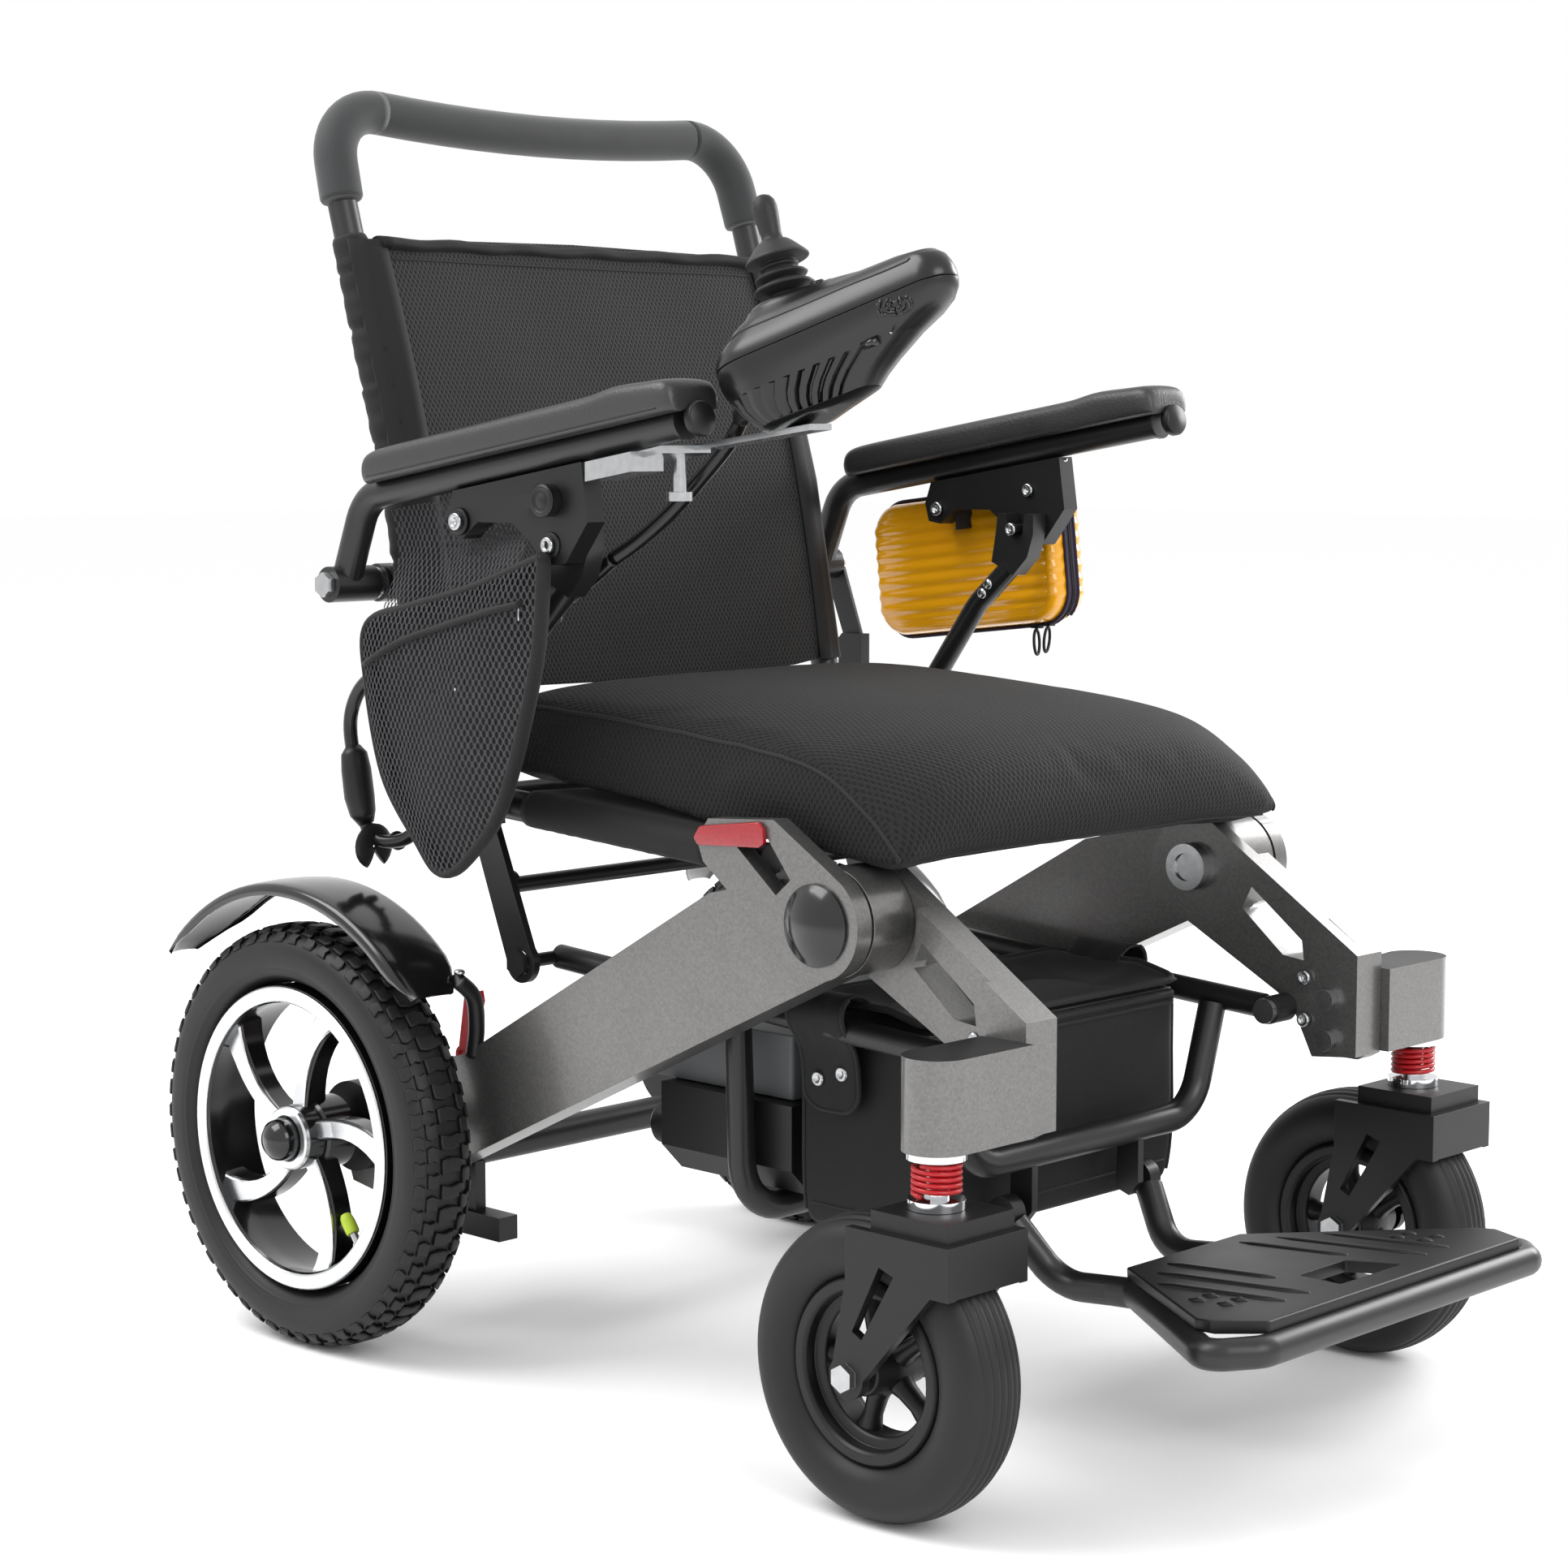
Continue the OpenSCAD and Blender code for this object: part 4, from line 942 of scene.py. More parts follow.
def tubeSleeve(x0):
    path = bent([(x0, 242.6, 494), (x0, 270, 637), (x0, 324.5, 817)], 120)
    fine = [np.array(path[0], float)]
    for a, b in zip(path, path[1:]):
        a, b = np.array(a, float), np.array(b, float)
        count = max(1, round(np.linalg.norm(b - a) / 3))
        fine += [a + (b - a) * j / count for j in range(1, count + 1)]
    radii, run = [], 0.0
    for i, q in enumerate(fine):
        run += 0 if i == 0 else np.linalg.norm(q - fine[i - 1])
        crease = math.exp(-((run % back["pleat"]) - 6) ** 2 / 5)
        radii.append(back["sleeve"] - 1.5 * crease + 0.35 * math.sin(run * 0.21) + 0.25 * math.sin(run * 0.47))
    radii[0] = radii[-1] = back["sleeve"] - 1.2
    return sweep(fine, radii, 22)


def edgeStrip():
    # the fabric that runs from the panel's edge round the front of the sleeve
    rings = []
    for z in range(492, 817, 12):
        y = backAt(z)[0]
        tube = 242.6 + (z - 494) * 27.4 / 143 if z < 637 else 270 + (z - 637) * 54.5 / 180
        front = [(190, y + 1), (200, y - 1), (207, tube - 14.2), (214, tube - 14.4), (220, tube - 10.6)]
        rings.append([(x, a, z) for x, a in front] + [(x, a + 3, z) for x, a in reversed(front)])
    return loft(rings)


hem = []
for k in range(41):
    x = -196 + 392 * k / 40
    hem.append((x, backAt(812)[0] + 4.0 + 5.0 * (1 - (x / 199) ** 2) + 0.5 * math.sin(x * 0.16), 813
                + 0.8 * math.sin(x * 0.09)))
for name, side in sides:
    sleeve = piece(f"backSleeve.{name}", [(onSide(tubeSleeve(210), side), "nylonTwill"),
                                          (onSide(edgeStrip(), side), "nylonTwill")], "backrest")
    edge = [(side * 189, backAt(z)[0], z) for z in range(492, 812, 10)]
    welt = [(side * 196, backAt(z)[0] - 2, z) for z in range(490, 816, 10)]
    piece(f"backSeam.{name}", [(seamOn(panel, edge, 1.0, 0.0), "bindingTape"),
                               (seamOn(panel, welt, 2.6, 0.8), "nylonTwill")], "backrest")
piece("backHem", [(sweep(hem, 8.0, 14, 0.62), "nylonTwill"),
                  (seamOn(panel, [(x, backAt(803)[0], 803) for x in range(-192, 193, 8)], 1.0), "bindingTape")],
      "backrest")

# foam push bar: its middle hangs down and comes forward a little from the two top corners
grip = {"end": (210, 332.5, 844), "corner": (206, 354, 917), "drop": 12, "forward": 4, "radius": 16, "bend": 44}
cornerX, cornerY, cornerZ = grip["corner"]
bar = [(x, cornerY - grip["forward"] * (1 - (x / cornerX) ** 2), cornerZ - grip["drop"] * (1 - (x / cornerX) ** 2))
       for x in range(160, -161, -32)]
foamLine = [grip["end"], grip["corner"]] + bar + [(-x, y, z) for x, y, z in (grip["corner"], grip["end"])]
foam = piece("pushGrip", [(roundedTube(bent(foamLine, grip["bend"]), grip["radius"], 32, 3), "evaFoam")], "backrest",
             ["push_grip"])
print("backrest ready")

armSlope = math.atan2(52, 326)


def alongArm(x, u, w):
    # u runs back along the arm tube from its front end, w stands square to it
    return (x, -68 + u * math.cos(armSlope) + w * math.sin(armSlope),
            682 - u * math.sin(armSlope) + w * math.cos(armSlope))


armPad = {
    "middle": 250, "halfWidth": 24.8, "bottom": 5.2, "groove": 12.3,
    # distance from the front end, height of the top, share of the full width
    "stations": ((-12.4, 18, 0.70), (-12, 21, 0.82), (-10, 25.4, 0.92), (-5, 28.0, 0.98), (6, 28.6, 1), (24, 29.8, 1),
                 (38, 31.0, 1), (50, 30.4, 1), (62, 28.8, 1), (76, 28.4, 1), (130, 28.6, 1), (210, 28.6, 1),
                 (280, 28.8, 1), (296, 28.0, 0.985), (303, 26.0, 0.95), (307, 22.6, 0.88), (308.4, 18, 0.76)),
}


def padShape(p):
    rings = []
    reach = math.acos(p["bottom"] / p["groove"])
    groove = [(p["groove"] * math.sin(reach * k / 4), p["groove"] * math.cos(reach * k / 4)) for k in range(-4, 5)]
    for u, top, share in p["stations"]:
        h, b = p["halfWidth"] * share, p["bottom"]
        half = [(h - 4, b), (h - 1.2, b + 1.6), (h, b + 5), (h + 0.2, (b + top) / 2), (h, top - 7),
                (h - 1.4, top - 3), (h - 4.6, top - 1.0), (h - 9, top - 0.3), (h * 0.4, top + 0.2)]
        ring = half + [(0, top + 0.3)] + [(-x, w) for x, w in reversed(half)] + groove
        rings.append([alongArm(p["middle"] + x, u, w) for x, w in ring])
    return loft(rings)


for name, side in sides:
    pad = piece(f"armPad.{name}", [(onSide(padShape(armPad), side), "pebbledPolyurethane")], f"arm_{name}",
                [f"arm_pad_{name}"], level=1)
    welt = [(side * (armPad["middle"] + 24.9), *alongArm(0, u, 9.0)[1:]) for u in range(0, 301, 20)]
    piece(f"armPadLine.{name}", [(seamOn(pad, welt, 0.7, -0.1), "mouldedNylon")], f"arm_{name}")
    nose = alongArm(armPad["middle"], -12.5, 0)
    parts = [(revolve([(10.5, -2), (11.8, 0), (11.8, 4), (10.4, 6), (0.01, 6.6)], 32,
                      axisPlace(nose, (0, -math.cos(armSlope), math.sin(armSlope)))), "mouldedNylon")]
    # bolts, washers and the ring of the knob on the bracket under the arm
    for y, z, r in ((146, 614, 6.4), (52, 600, 5.8)):
        x = 258.3 if y > 100 else 257.5
        washer = [(r + 3, 0), (r + 3, 1.6), (r + 2, 2.4), (0.01, 2.4)]
        parts += [(revolve(washer, 28, axisPlace((x, y, z), (1, 0, 0))), "mouldedNylon"),
                  (socketBolt((x + 2, y, z), (1, 0, 0), r, 4), "zincPlate"),
                  (socketBolt((242.2 if y > 100 else 222.4, y, z), (-1, 0, 0), r - 0.6, 4), "zincPlate")]
    parts.append((socketBolt((242.2, 52, 630), (-1, 0, 0), 5.4, 3.4), "zincPlate"))
    for u in (96, 186):
        foot = alongArm(armPad["middle"], u, -11)
        parts.append((socketBolt((foot[0], foot[1], foot[2] - 1), (0, 0, -1), 4.2, 3), "zincPlate"))
    piece(f"armFittings.{name}", [(onSide(s, side), look) for s, look in parts], f"arm_{name}")
    knobFace = [(11.4, 0), (11.4, 1.2), (9.6, 2.2), (8.2, 2.2), (7.6, 1.2), (5.2, 1.2), (4.6, 2.0), (0.01, 2.2)]
    knob = revolve(knobFace, 36, axisPlace((265.8, 52, 630), (1, 0, 0)))
    piece(f"armKnob.{name}", [(onSide(knob, side), "mouldedNylon")], f"latch_{name}")
    rivets = []
    for y, z in ((78, 556.5), (84, 549)):
        rivets += [(domeNut((x, y, z), (way, 0, 0), 4.2, 2.6), "zincPlate") for x, way in ((241.4, 1), (224.8, -1))]
    piece(f"postRivets.{name}", [(onSide(s, side), look) for s, look in rivets], f"post_{name}")
# the strap clip behind the left arm is moulded
repaint("arm_pivot_left", "mouldedNylon", lambda c: c.z < 545 and 261 < c.x < 273)
print("arms ready")

pod = {"place": (-208, -112, 722), "tilt": 19, "stick": -20, "points": 192,
       # height, rear circle radius and place, nose circle radius and place, depth of the vent slots
       "levels": ((-46.6, 18, -10, 8, -40, 0), (-46, 23, -10, 10, -50, 0), (-44.4, 26.4, -9, 12, -60, 0),
                  (-43.9, 27.0, -9, 12, -63, 0), (-43.6, 27.2, -8, 12.2, -63.5, 3.2), (-38, 31, -7, 12.6, -72, 3.6),
                  (-32, 34, -5, 13.2, -84, 3.6), (-23.0, 37.4, -3, 14, -106, 3.2), (-22.6, 37.6, -3, 14, -107, 0),
                  (-17, 39.2, -1, 15.4, -124, 0), (-12, 40.2, 0, 16.4, -133, 0), (-6, 40.9, 0, 17.4, -137, 0),
                  (-1.4, 41, 0, 17.8, -138, 0)),
       "crown": ((-0.9, 40.3, 0, 16.9, -137.6, 0), (-0.5, 41.1, 0, 17.7, -137.8, 0), (1.0, 41.1, 0, 17.7, -138.2, 0),
                 (5, 40.4, -0.6, 17.2, -138.6, 0), (10, 38.0, -2, 15.8, -138.6, 0), (15, 34.4, -5, 14.0, -138, 0),
                 (19.6, 31.6, -8, 11.4, -135, 0), (22.6, 29.2, -11, 9.4, -120, 0), (25, 26.6, -14, 10.0, -88, 0),
                 (28.6, 24.6, -16, 10.6, -66, 0), (31.4, 22.4, -18, 12, -46, 0), (33, 19.6, -19.4, 14, -32, 0),
                 (33.4, 16, -20, 13, -26, 0), (33.2, 14.4, -20, 14.1, -20.6, 0), (32.6, 16.8, -20, 16.5, -20.6, 0),
                 (17, 16.8, -20, 16.5, -20.6, 0))}


def podPlace():
    tilt = math.radians(-pod["tilt"])
    return Matrix.Translation(Vector(pod["place"])) @ Matrix.Rotation(tilt, 4, "X")


def teardrop(level):
    # the plan of the pod at one height, as evenly spaced points that start at the middle of the back
    w, rear, rearAt, nose, noseAt, slot = level
    meet = math.acos((rear - nose) / (rearAt - noseAt))
    half = [(rear * math.sin(a), rearAt + rear * math.cos(a)) for a in np.linspace(0, math.pi - meet, 30)]
    half += [(nose * math.sin(a), noseAt + nose * math.cos(a)) for a in np.linspace(math.pi - meet, math.pi, 20)]
    line = np.array(half + [(-x, u) for x, u in reversed(half[:-1])])
    run = np.concatenate([[0], np.cumsum(np.linalg.norm(np.diff(line, axis=0), axis=1))])
    count = pod["points"]
    at = np.linspace(0, run[-1], count, endpoint=False)
    x, u = np.interp(at, run, line[:, 0]), np.interp(at, run, line[:, 1])
    middle = np.array([0, rearAt * 0.7 + noseAt * 0.3])
    ring = []
    for k in range(count):
        point = np.array([x[k], u[k]])
        cut = slot if k % 6 in (2, 3) and not count * 0.40 < k < count * 0.60 else 0
        point = point + unit(middle - point) * cut
        ring.append((point[0], point[1], w))
    return ring


place = podPlace()
bowl = piece("podBowl", [(moved(loft([teardrop(level) for level in pod["levels"]]), place), "satinAbs")], "arm_right",
             ["pod_lower"], bevel=0.3, angle=50)
crown = piece("podCrown", [(moved(loft([teardrop(level) for level in pod["crown"]]), place), "satinAbs")],
              "arm_right", ["pod_upper"], bevel=0.3, angle=50)


def podPoint(x, u, w):
    return tuple(place @ Vector((x, u, w)))


def podArc(obj, centre, across, up, radius, start, end, wire, lift):
    # an arc drawn in the plane of across and up, laid on the pod
    centre, across, up = Vector(centre), Vector(across).normalized(), Vector(up).normalized()
    path = [tuple(place @ (centre + across * radius * math.cos(t) + up * radius * 0.8 * math.sin(t)))
            for t in np.linspace(math.radians(start), math.radians(end), 20)]
    return seamOn(obj, path, wire, lift, 6)


# speaker slots in rings, a button and a socket under the nose on its outer side
speaker = ((-19, -122, -9), (0.45, -0.9, 0.05), (0.35, 0.25, 0.9))
grille = []
for radius in (3.4, 7.2, 11.0):
    for k in range(4):
        grille.append((podArc(bowl, *speaker, radius, 90 * k + 14, 90 * k + 76, 1.0, 0.5), "glossAbs"))
grille.append((podArc(bowl, *speaker, 12.6, 0, 360, 0.7, 0.3), "glossAbs"))
centre, across, up = (Vector(v) for v in speaker)
# eight bright zinc dots between the rings of slots: painted highlights, standing in for the light caught on the
# ridges between the slots
for k in range(8):
    spot = place @ (centre + 5 * math.cos(k * 0.785) * across + 4 * math.sin(k * 0.785) * up)
    grille.append((seamOn(bowl, [tuple(spot), tuple(spot + Vector((0, 0.4, 0)))], 0.6, 0.3), "zincPlate"))
grille.append((domeNut(podPoint(-19.8, -100, -4), (-0.97, -0.1, -0.2), 2.8, 1.6), "glossAbs"))
pinPlace = axisPlace(podPoint(-13, -112, -20), (-0.8, -0.35, -0.45))
grille.append((revolve([(0.8, 0), (0.8, 7.2), (0.01, 7.4)], 12, pinPlace), "zincPlate"))
socket = [podPoint(-15.5, -88 - 12 * t, -22 - 1.0 * t) for t in (0, 0.5, 1)]
grille.append((seamOn(bowl, socket, 3.6, -0.4, 14, 0.8), "glossAbs"))
piece("podFittings", grille, "arm_right")
# raised edge that runs from the back of the pod to both sides of the nose
for sign, name in ((-1, "outer"), (1, "inner")):
    edge = [podPoint(sign * x, u, w) for x, u, w in ((30, 20, 14), (34, 0, 17), (33, -30, 18), (28, -60, 17),
                                                     (22, -90, 16), (16, -120, 14), (10, -138, 13))]
    piece(f"podEdge.{name}", [(seamOn(crown, smoothPath(edge, 5), 0.8, -0.1, 8), "satinAbs")], "arm_right")
buttons = [(seamOn(crown, [podPoint(x, -52, 30), podPoint(x * 0.96, -60, 30)], 3.4, -1.2, 14, 0.8), "mouldedNylon")
           for x in (-9, 0, 9)]
buttons += [(domeNut(podPoint(x, -78, 25.4), (0, 0.28, 0.96), 2.0, 1.0), "redAbs") for x in (-6, 0, 6)]
piece("podButtons", buttons, "arm_right")

# radius and height of the knob, the skirt and the bellows
stickProfile = ((0.01, 104.4), (2.8, 104.1), (5.4, 102.8), (7.4, 100), (8.3, 96), (8.2, 91), (7.5, 84), (6.9, 78),
                (6.9, 75), (7.8, 73), (10.5, 72), (13, 69.8), (19.8, 62.2), (21.0, 60.6), (21.0, 59.6), (19.6, 59.0),
                (11.6, 58.6), (10.8, 57.6), (12.6, 56.2), (13.0, 55.4), (12.6, 54.6), (10.8, 53.6), (10.8, 52.4),
                (16.4, 50.2), (17.6, 49.0), (16.6, 47.8), (11.2, 46.4), (11.2, 45.2), (18.8, 42.6), (20.2, 41.2),
                (19.2, 39.8), (10.6, 38.4), (9.6, 36), (9.2, 30.6), (0.01, 30.6))
shift = Matrix.Translation(Vector((0, pod["stick"], 0)))
piece("joystickLever", [(moved(moved(revolve(stickProfile, 48), shift), place), "softRubber")], "joystick",
      ["joystick_lever"])
print("joystick ready")

# the control cable, held along its whole route; each run between two bodies is built in place and attached to neither
cable = {
    "radius": 5.2,
    "upper": ((-208, -93, 694.3), (-203, -78, 690), (-193, -62, 681), (-187, -46, 668), (-190, -24, 646),
              (-196, 0, 622), (-206, 20, 603), (-214, 38, 590)),
    # name, the two bodies, steps between points, points
    "runs": (("cableArm", "arm_right", "arm_carrier_right", 6,
              ((-214, 38, 590), (-214, 62, 575), (-214, 100, 553), (-216, 150, 528), (-224, 194, 509),
               (-231, 226, 500))),
             ("cableCarrier", "arm_carrier_right", "backrest", 4,
              ((-231, 226, 500), (-231, 244, 501), (-231, 262, 500))),
             ("cableBack", "backrest", "seat", 6,
              ((-231, 262, 500), (-232, 284, 494), (-232, 299, 478), (-232, 304, 458), (-231, 300, 430)))),
    "lower": ((-231, 300, 430), (-229, 296, 400), (-224, 288, 378), (-218, 262, 378), (-214, 238, 394)),
}
upperRoute = smoothPath(cable["upper"], 5)
piece("cableUpper", [(sweep(upperRoute, cable["radius"], 16), "cablePvc")], "arm_right", ["cable_upper"])
relief = upperRoute[:9]
piece("cableRelief", [(sweep(relief, [8.2 - 0.22 * k + (0.7 if k % 2 else 0) for k in range(len(relief))], 18),
                       "mouldedNylon")], "arm_right")
for title, fromBody, toBody, steps, points in cable["runs"]:
    run = piece(title, [(sweep(smoothPath(points, steps), cable["radius"], 16), "cablePvc")], None)
    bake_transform(run)
# connector and clip on the lowest run
plug = [(-231.4, 302, 446), (-231.2, 301, 440), (-230.6, 299.5, 428), (-229.6, 297.4, 408), (-228.6, 295, 396),
        (-227, 292.5, 388)]
clip = [(-226 + 9 * math.cos(t), 286, 372 + 9 * math.sin(t))
        for t in np.linspace(math.radians(-60), math.radians(250), 22)]
lower = [(sweep(smoothPath(cable["lower"], 6), cable["radius"], 16), "cablePvc"),
         (sweep(plug, (5.6, 10.5, 12.0, 12.2, 10.6, 6.2), 22, 0.86), "mouldedNylon"),
         (sweep(clip, 2.6, 10, 3.2), "mouldedNylon")]
for spot in ((-216.5, 270, 376.6), (-215, 246, 388)):
    lower.append((revolve([(6.4, -2), (7.2, -1.2), (7.2, 1.2), (6.4, 2)], 20, axisPlace(spot, (0, -0.9, 0.3))),
                  "mouldedNylon"))
piece("cableLower", lower, "seat", ["cable_lower"])
print("cable ready")

pocket = {"outline": ((50, 594), (120, 572), (190, 556), (238, 541), (240, 500), (222, 432), (186, 388), (160, 366),
                      (130, 380), (92, 424), (58, 520)),
          "out": 270.0, "in": 260.5, "bulge": 13.0, "rings": 14, "cut": (0.204, 0.236),
          "zip": ((-273, 66, 561), (-275, 120, 549), (-274, 180, 533), (-271, 232, 512))}


def pocketEdge(grow=0.0):
    line = np.array(smoothPath(list(pocket["outline"]) + [pocket["outline"][0]], 8)[:-1])
    middle = line.mean(axis=0)
    size = np.linalg.norm(line - middle, axis=1)[:, None]
    return middle + (line - middle) * (1 + grow / size)


def pocketFace(x0, bulge):
    edge = pocketEdge()
    middle = edge.mean(axis=0) + (0, 18)
    rows = []
    for k in range(pocket["rings"] + 1):
        s = max(0.01, 1 - k / pocket["rings"])
        row = []
        for y, z in middle + (edge - middle) * s:
            # it hangs slack: fullest low down, with long soft folds from the top corners
            low = max(0, min(1, (600 - z) / 190))
            fold = 1.2 * math.sin(y * 0.06 + (z - 470) * 0.025) + 0.5 * math.sin(y * 0.13 - z * 0.02 + 1)
            row.append((x0 + bulge * (1 - s ** 2.4) * (0.35 + 0.65 * low) + fold * (1 - s ** 4), y, z))
        rows.append(row + [row[0]])
    return sheetGrid(rows)


outer = piece("pocketOuter", [(onSide(pocketFace(pocket["out"], pocket["bulge"]), -1), "pocketNet")],
              "arm_carrier_right", ["side_pocket"])
inner = piece("pocketInner", [(onSide(pocketFace(pocket["in"], -1.5), -1), "nylonTwill")], "arm_carrier_right")
edge = pocketEdge()
shift = np.roll(edge, -1, axis=0)
path = [(-265.4, y, z) for y, z in pocketEdge(-2)]
trims = [(sweep(path, 6.2, 12, 0.55, closed=True), "bindingTape")]
zipLine = smoothPath(pocket["zip"], 8)
trims += [(seamOn(outer, zipLine, 5.0, 0.3, 10, 0.5), "bindingTape"),
          (seamOn(outer, zipLine, 1.8, 2.2, 8), "mouldedNylon"),
          (seamOn(outer, [(-273, 71, 560), (-273, 70, 556), (-274, 70, 549)], 1.8, 1.6, 8, 0.5), "zincPlate")]
for lift in (-1.6, 1.6):
    trims.append((seamOn(outer, [(x, y, z + lift * 2.2) for x, y, z in zipLine], 0.8, 1.6, 6), "bindingTape"))
# net panel that runs from the zip up behind the bracket to the arm tube
rows = []
for k in range(13):
    t = k / 12
    row = []
    for y in np.linspace(84, 232, 20):
        low, high = 589 - (y - 66) * 0.27, 679 - (y + 68) * 0.159 - 11
        x = 261 - 21 * min(1, t * 1.8) + 2.6 * max(0, t - 0.8) * 5
        row.append((-x + 1.2 * math.sin(y * 0.11 + 3 * t), y + (8 * t if y > 200 else 0), low + (high - low) * t))
    rows.append(row)
flap = piece("pocketFlap", [(sheetGrid(rows), "pocketNet")], "arm_carrier_right")
piece("pocketTrim", trims, "arm_carrier_right")
print("pocket ready")

bag = {"half": 137.0, "front": -180.0, "rear": -63.0, "corner": 12.0,
       # height, and how far the wall stands inside the plan
       "rings": ((133.5, 9.0), (134.5, 4.0), (138, 1.2), (146, 0.2), (170, -0.8), (200, -1.2), (232, -0.8),
                 (262, 0.0), (277, 0.6), (283, 1.6))}


def bagRing(z, inset):
    # the plan of the bag at one height; its walls belly out a little and its bottom follows the side view
    half, front, rear, r = bag["half"] - inset, bag["front"] + inset, bag["rear"] - inset, bag["corner"]
    ring = []
    for cx, cy, start in ((half - r, rear - r, 0), (-half + r, rear - r, 90), (-half + r, front + r, 180),
                          (half - r, front + r, 270)):
        ring += [(cx + r * math.cos(math.radians(start + 15 * k)), cy + r * math.sin(math.radians(start + 15 * k)))
                 for k in range(7)]
        nx, ny = {0: (-half + r, rear), 90: (-half, front + r), 180: (half - r, front), 270: (half, rear - r)}[start]
        x0, y0 = ring[-1]
        ring += [(x0 + (nx - x0) * k / 8, y0 + (ny - y0) * k / 8) for k in range(1, 8)]
    out = []
    for x, y in ring:
        share = (z - 133) / 150
        slack = math.sin(math.pi * max(0, min(1, share)))
        dent = 1.6 * slack * math.sin(x * 0.045 + z * 0.05) + 1.2 * slack * math.sin(y * 0.09 + z * 0.03)
        centre = np.array([0, (front + rear) / 2])
        way = unit(np.array([x, y]) - centre)
        # the front wall leans back towards the floor of the bag
        lean = 4.0 * (1 - share) * (y - rear) / (front - rear)
        lift = 2.0 if z < 150 and y < -120 else 0
        out.append((x + way[0] * dent * 0.6, y + way[1] * dent * 0.6 + lean, z + lift))
    return out


body = piece("storageBag", [(loft([bagRing(z, inset) for z, inset in bag["rings"]]), "nylonTwill")], "tray",
             ["storage_bag"], level=1)


def bagLid():
    rows = []
    for i in range(25):
        t = i / 24
        y = bag["front"] + 1 + (bag["rear"] - bag["front"] - 2) * t
        row = []
        for j in range(49):
            s = -1 + 2 * j / 48
            rim = 283.5 + 8.5 * min(1, t / 0.3)
            sag = 15.0 * (1 - s ** 4) * math.sin(math.pi * min(1, t * 1.05)) ** 0.8
            crease = 1.6 * math.sin(s * 9 + t * 4) * math.sin(math.pi * t)
            crease += 1.0 * math.sin(s * 17 - t * 7) * (1 - s * s)
            row.append((s * (bag["half"] - 1.5), y, rim - sag + crease * (1 - s ** 6)))
        rows.append(row)
    return sheetGrid(rows)


lid = piece("bagLid", [(bagLid(), "nylonTwill")], "tray")
thicken(lid, 1.6)
# zip round the front and sides under the lid, piping on every edge, and a flap over the side tube with two snaps
trims = []
wall = {z: [(x * 1.004, y, z) for x, y, _ in bagRing(z, 0)] for z in (268, 274, 279)}
rim = [(x, y, 283.6 + 8.5 * min(1, max(0, (y + 181) / 36))) for x, y, _ in bagRing(283, 0.8)]
trims.append((sweep(rim, 2.6, 10, closed=True), "bindingTape"))
for z, wire, look in ((279, 1.2, "mouldedNylon"), (274, 2.2, "bindingTape"), (268, 1.5, "bindingTape")):
    trims.append((seamOn(body, wall[z], wire, 0.4, 8, closed=True), look))
for x in (-1, 1):
    for y in (bag["front"] + 5, bag["rear"] - 5):
        corner = [(x * (bag["half"] - 3), y, z) for z in range(144, 282, 8)]
        trims.append((seamOn(body, corner, 1.7, 0.4), "bindingTape"))
trims.append((seamOn(body, [(x, bag["front"], 152) for x in range(-126, 127, 12)], 0.9, 0.1), "bindingTape"))
trims.append((seamOn(body, [(-bag["half"], y, 150) for y in range(-172, -70, 8)], 0.9, 0.1), "bindingTape"))
piece("bagTrim", trims, "tray")
# the flap as seen from the front, as (x, z), from the lid over the side tube and down the wall
flapLine = smoothPath(((128, 286), (134, 293), (142, 298.5), (150, 300.6), (158, 299.2), (163.2, 294), (164.4, 286),
                       (161, 277), (156, 270), (151, 262), (148, 250), (147, 238), (146.6, 226), (146.4, 219)), 3)
for name, side in sides:
    rows = []
    for i, (x, z) in enumerate(flapLine):
        narrow = 14 * max(0, (i - 34) / 5) ** 2
        rows.append([(x + 0.5 * math.sin(y * 0.3), y, z) for y in np.linspace(-128 + narrow, -78 - narrow, 13)])
    flap = piece(f"bagFlap.{name}", [(onSide(sheetGrid(rows), side), "nylonTwill")], "tray")
    thicken(flap, 1.8)
    hemPath = [r[0] for r in rows[12:]] + rows[-1][1:-1] + [r[-1] for r in rows[:11:-1]]
    snaps = [(onSide(sweep(hemPath, 1.7, 8), side), "bindingTape")]
    for y, z in ((-114, 246), (-92, 240)):
        snaps.append((onSide(revolve([(5.2, 0), (5.4, 1.0), (4.6, 2.2), (3.2, 2.4), (2.6, 1.4), (0.01, 1.6)], 24,
                                     axisPlace((148.2, y, z), (1, 0, 0.05))), side), "zincPlate"))
    piece(f"bagSnaps.{name}", snaps, "tray")
print("bag ready")

case = {"middle": (145, 570), "turn": -6.5, "long": 192, "tall": 110, "corner": 26, "rib": 1.6, "ribPitch": 11,
        "strap": ((264, 135, 598), (262.4, 135, 622), (262.4, 136, 640), (263.5, 136, 652))}


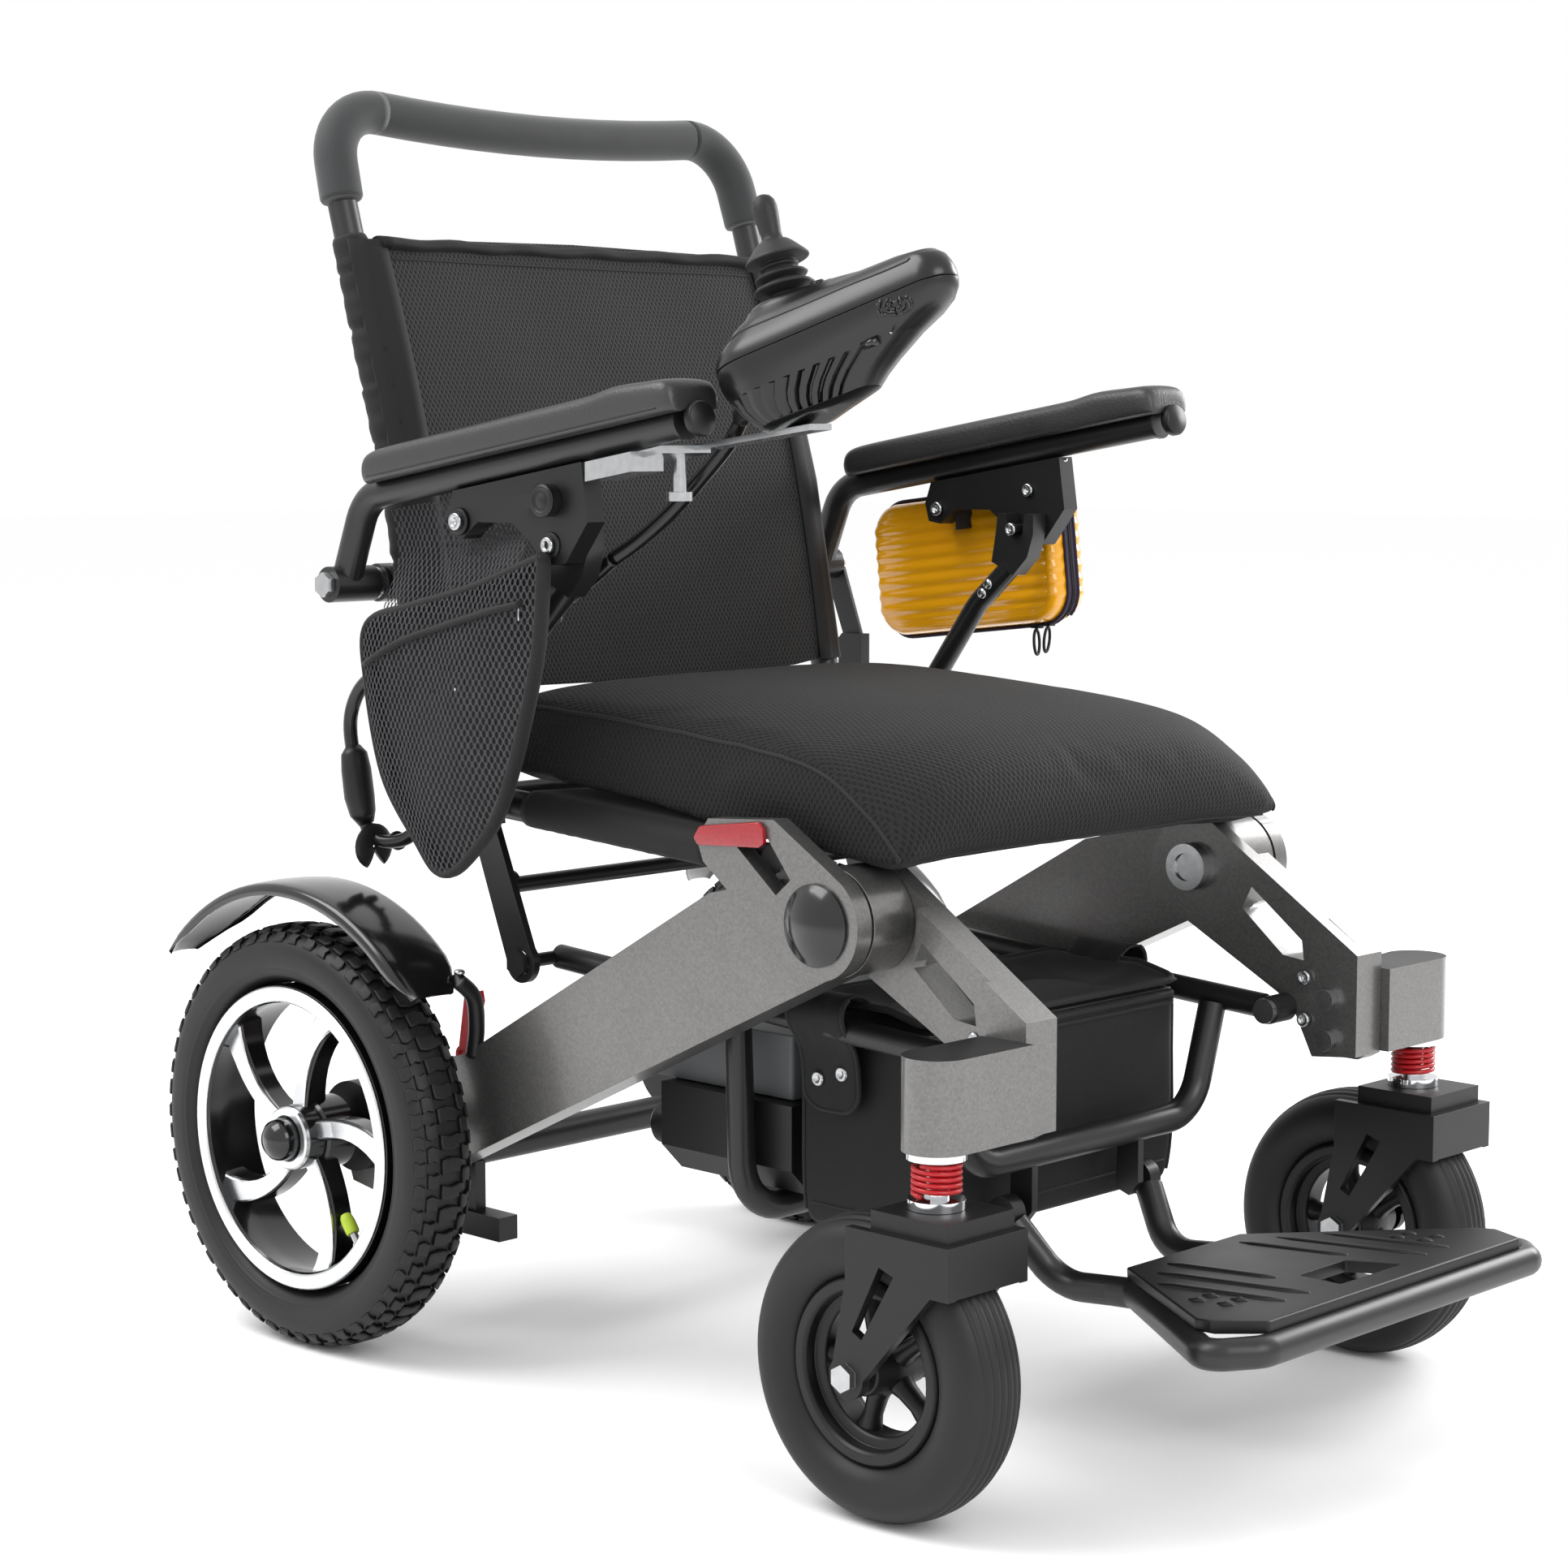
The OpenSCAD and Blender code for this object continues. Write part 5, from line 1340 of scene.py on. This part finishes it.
def caseOutline(inset, count=280):
    # evenly spaced points of the rounded outline and their outward directions, in the case's own plane
    half, tall, r = case["long"] / 2 - inset, case["tall"] / 2 - inset, max(0.5, case["corner"] - inset)
    line = []
    for cx, cy, start in ((half - r, tall - r, 0), (-half + r, tall - r, 90), (-half + r, -tall + r, 180),
                          (half - r, -tall + r, 270)):
        line += [(cx + r * math.cos(math.radians(start + 7.5 * k)), cy + r * math.sin(math.radians(start + 7.5 * k)))
                 for k in range(13)]
    line = np.array(line + line[:1])
    run = np.concatenate([[0], np.cumsum(np.linalg.norm(np.diff(line, axis=0), axis=1))])
    at = np.linspace(0, run[-1], count, endpoint=False)
    u, v = np.interp(at, run, line[:, 0]), np.interp(at, run, line[:, 1])
    way = np.stack([np.roll(v, -1) - np.roll(v, 1), np.roll(u, 1) - np.roll(u, -1)], axis=1)
    return u, v, way / np.linalg.norm(way, axis=1)[:, None]


def ribLift(v, rib):
    # height of the ribs at v, a distance up from the middle; they fade out near the top and the bottom
    return rib * np.clip((43 - np.abs(v)) / 4, 0, 1) * (0.5 + 0.5 * np.cos(2 * math.pi * v / case["ribPitch"])) ** 0.8


def casePoints(x, u, v):
    # points of the case's own plane, u back and v up, turned and set at their place on the arm
    turn = math.radians(case["turn"])
    return np.stack([x + 0 * u, case["middle"][0] + u * math.cos(turn) - v * math.sin(turn),
                     case["middle"][1] + u * math.sin(turn) + v * math.cos(turn)], axis=-1)


def caseRing(x, inset, rib=0.0, facing=0.0, way=1, count=280):
    # facing is 0 on the side wall and 1 on the big face; the ribs stand out square to the surface
    u, v, normal = caseOutline(inset, count)
    lift = ribLift(v, rib)
    return casePoints(x + way * lift * facing, u + lift * (1 - facing) * normal[:, 0], v)


def caseStrip(x, inset, openBelow):
    # the outline as a line; openBelow leaves out the bottom, where the two halves hinge
    ring = caseRing(x, inset, count=120)
    if not openBelow:
        return list(ring) + [ring[0]]
    v = caseOutline(inset, 120)[1]
    keep = [k for k in range(120) if v[k] > 3 - case["tall"] / 2]
    start = next(k for k in keep if (k - 1) % 120 not in keep)
    return [ring[(start + k) % 120] for k in range(len(keep))]


def caseShell(seam, way, depth):
    # one half: way is -1 for the tray and 1 for the lid
    # distance from the seam, inset, height of the ribs, and how far they face out
    rib = case["rib"]
    steps = ((0, 0.2, 0, 0), (6.4, 0.2, 0, 0), (8, 0.8, 1.3, 0), (depth - 9, 1.2, rib, 0),
             (depth - 5.2, 2.4, rib, 0.2), (depth - 3, 4.6, rib, 0.5),
             (depth - 1.8, 8.0, rib, 0.85), (depth - 3, 11, 0, 1))
    parts = [(loft([caseRing(seam + way * s, inset, high, facing, way) for s, inset, high, facing in steps]),
              "yellowPolycarbonate")]
    # the big face is a grid whose rows follow the ribs; margin is its distance inside the outline
    margin = 7.4
    r, top = case["corner"] - margin, case["tall"] / 2 - margin
    rows = []
    for v in np.linspace(-top, top, 97):
        over = max(0, abs(v) - (case["tall"] / 2 - case["corner"]))
        reach = case["long"] / 2 - margin - r + math.sqrt(max(0, r * r - over * over))
        u = np.linspace(-reach, reach, 41)
        rim = np.maximum(0, 1 - (reach - np.abs(u)) / 7) ** 2 + max(0, 1 - (top - abs(v)) / 7) ** 2
        rows.append(casePoints(seam + way * (depth - 1.4 + ribLift(v, rib) - 0.7 * np.minimum(1, rim)), u, v))
    parts.append((sheetGrid(rows), "yellowPolycarbonate"))
    openBelow = way > 0
    band = [caseStrip(seam + way * s, inset, openBelow)
            for s, inset in ((0, -0.2), (0, -1.4), (5.2, -1.4), (5.6, -0.2))]
    parts.append((sheetGrid(band), "zipTape"))
    parts.append((sweep(caseStrip(seam + way * 6.0, -1.0, openBelow), 1.5, 10), "zipTape"))
    parts.append((sweep(caseStrip(seam + way * 0.8, -1.6, openBelow), 0.7, 8), "mouldedNylon"))
    return parts


piece("caseTray", caseShell(289.8, -1, 22.6), "arm_left", ["case_tray"])
piece("caseLid", caseShell(290.2, 1, 20.6), "case_door", ["case_lid"])
pulls = []
pullX = 285.2
for y, z, lean in ((66, 523.5, 0.10), (78, 521.0, -0.06)):
    pulls.append((block((pullX - 3.4, y - 4, z - 2), (pullX + 3.4, y + 4, z + 3)), "mouldedNylon"))
    loop = [(pullX - 1 + 3.4 * math.cos(t), y + lean * 20 * (0.5 - 0.5 * math.sin(t)), z - 13 + 10 * math.sin(t))
            for t in np.linspace(0, 2 * math.pi, 25)[:-1]]
    pulls.append((sweep(loop, 1.25, 8, closed=True), "mouldedNylon"))
piece("casePulls", pulls, "arm_left", bevel=0.5)
piece("caseStrap", [(sweep(smoothPath(case["strap"], 4), 13, 12, 0.16), "bindingTape")], "arm_left")
print("case ready")


def legBolts(name, side):
    # start of a line, its direction, and the bolt that stands where the line meets the leg
    spots = [((side * 150, -270, z), (side, 0, 0), socketBolt, 5.4, 4) for z in (292, 262)]
    spots.append(((side * 300, -266, 296), (-side, 0, 0), domeNut, 4.2, 2.4))
    tree = BVHTree.FromObject(nodes[f"front_leg_{name}"], bpy.context.evaluated_depsgraph_get())
    parts = []
    for start, way, kind, r, h in spots:
        at, normal, _, _ = tree.ray_cast(Vector(start) * mm, Vector(way))
        parts.append((kind(tuple(at / mm), tuple(normal), r, h), "zincPlate"))
    return parts


for name, side in sides:
    piece(f"legBolts.{name}", legBolts(name, side), "front_frame")
# moulded ribs and grip nubs on the footplate, measured back from its rear edge along its top
plate = {
    "origin": (-290, 125), "tilt": -4.3, "top": 4,
    # ribs on both halves: distance from the middle, and where they start and end
    "ribs": ((40, -18, -104), (66, -30, -148), (92, -50, -148)),
    "nubs": ((104, -100), (104, -122), (118, -100), (118, -122)),
}


def onPlate(x, v, h):
    (y0, z0), tilt, z = plate["origin"], math.radians(plate["tilt"]), plate["top"] + h
    return x, y0 + v * math.cos(tilt) - z * math.sin(tilt), z0 + v * math.sin(tilt) + z * math.cos(tilt)


ribs = []
for _, side in sides:
    for x, start, end in plate["ribs"]:
        line = [onPlate(side * x, v, -0.2) for v in np.linspace(start, end, 9)]
        ribs.append((sweep(line, [2.0] + [4.4] * 7 + [2.0], 12, 0.42), "mouldedNylon"))
    for x, v in plate["nubs"]:
        line = [onPlate(side * x, v + step, -0.2 * abs(step) / 6) for step in (-6, 0, 6)]
        ribs.append((sweep(line, (1.6, 4.0, 1.6), 12, 0.5), "mouldedNylon"))
piece("plateRibs", ribs, "footrest")
# ribbed knob of the battery plug
knobProfile = [(15.2, 0)] + [(15.4 + 0.8 * (k % 2), 6 + 4 * k) for k in range(8)] + [(13, 38), (0.01, 38.6)]
piece("plugKnob", [(revolve(knobProfile, 30, axisPlace((-96, 77, 172), (0, 1, 0))), "mouldedNylon")], "tray")
print("fittings ready")
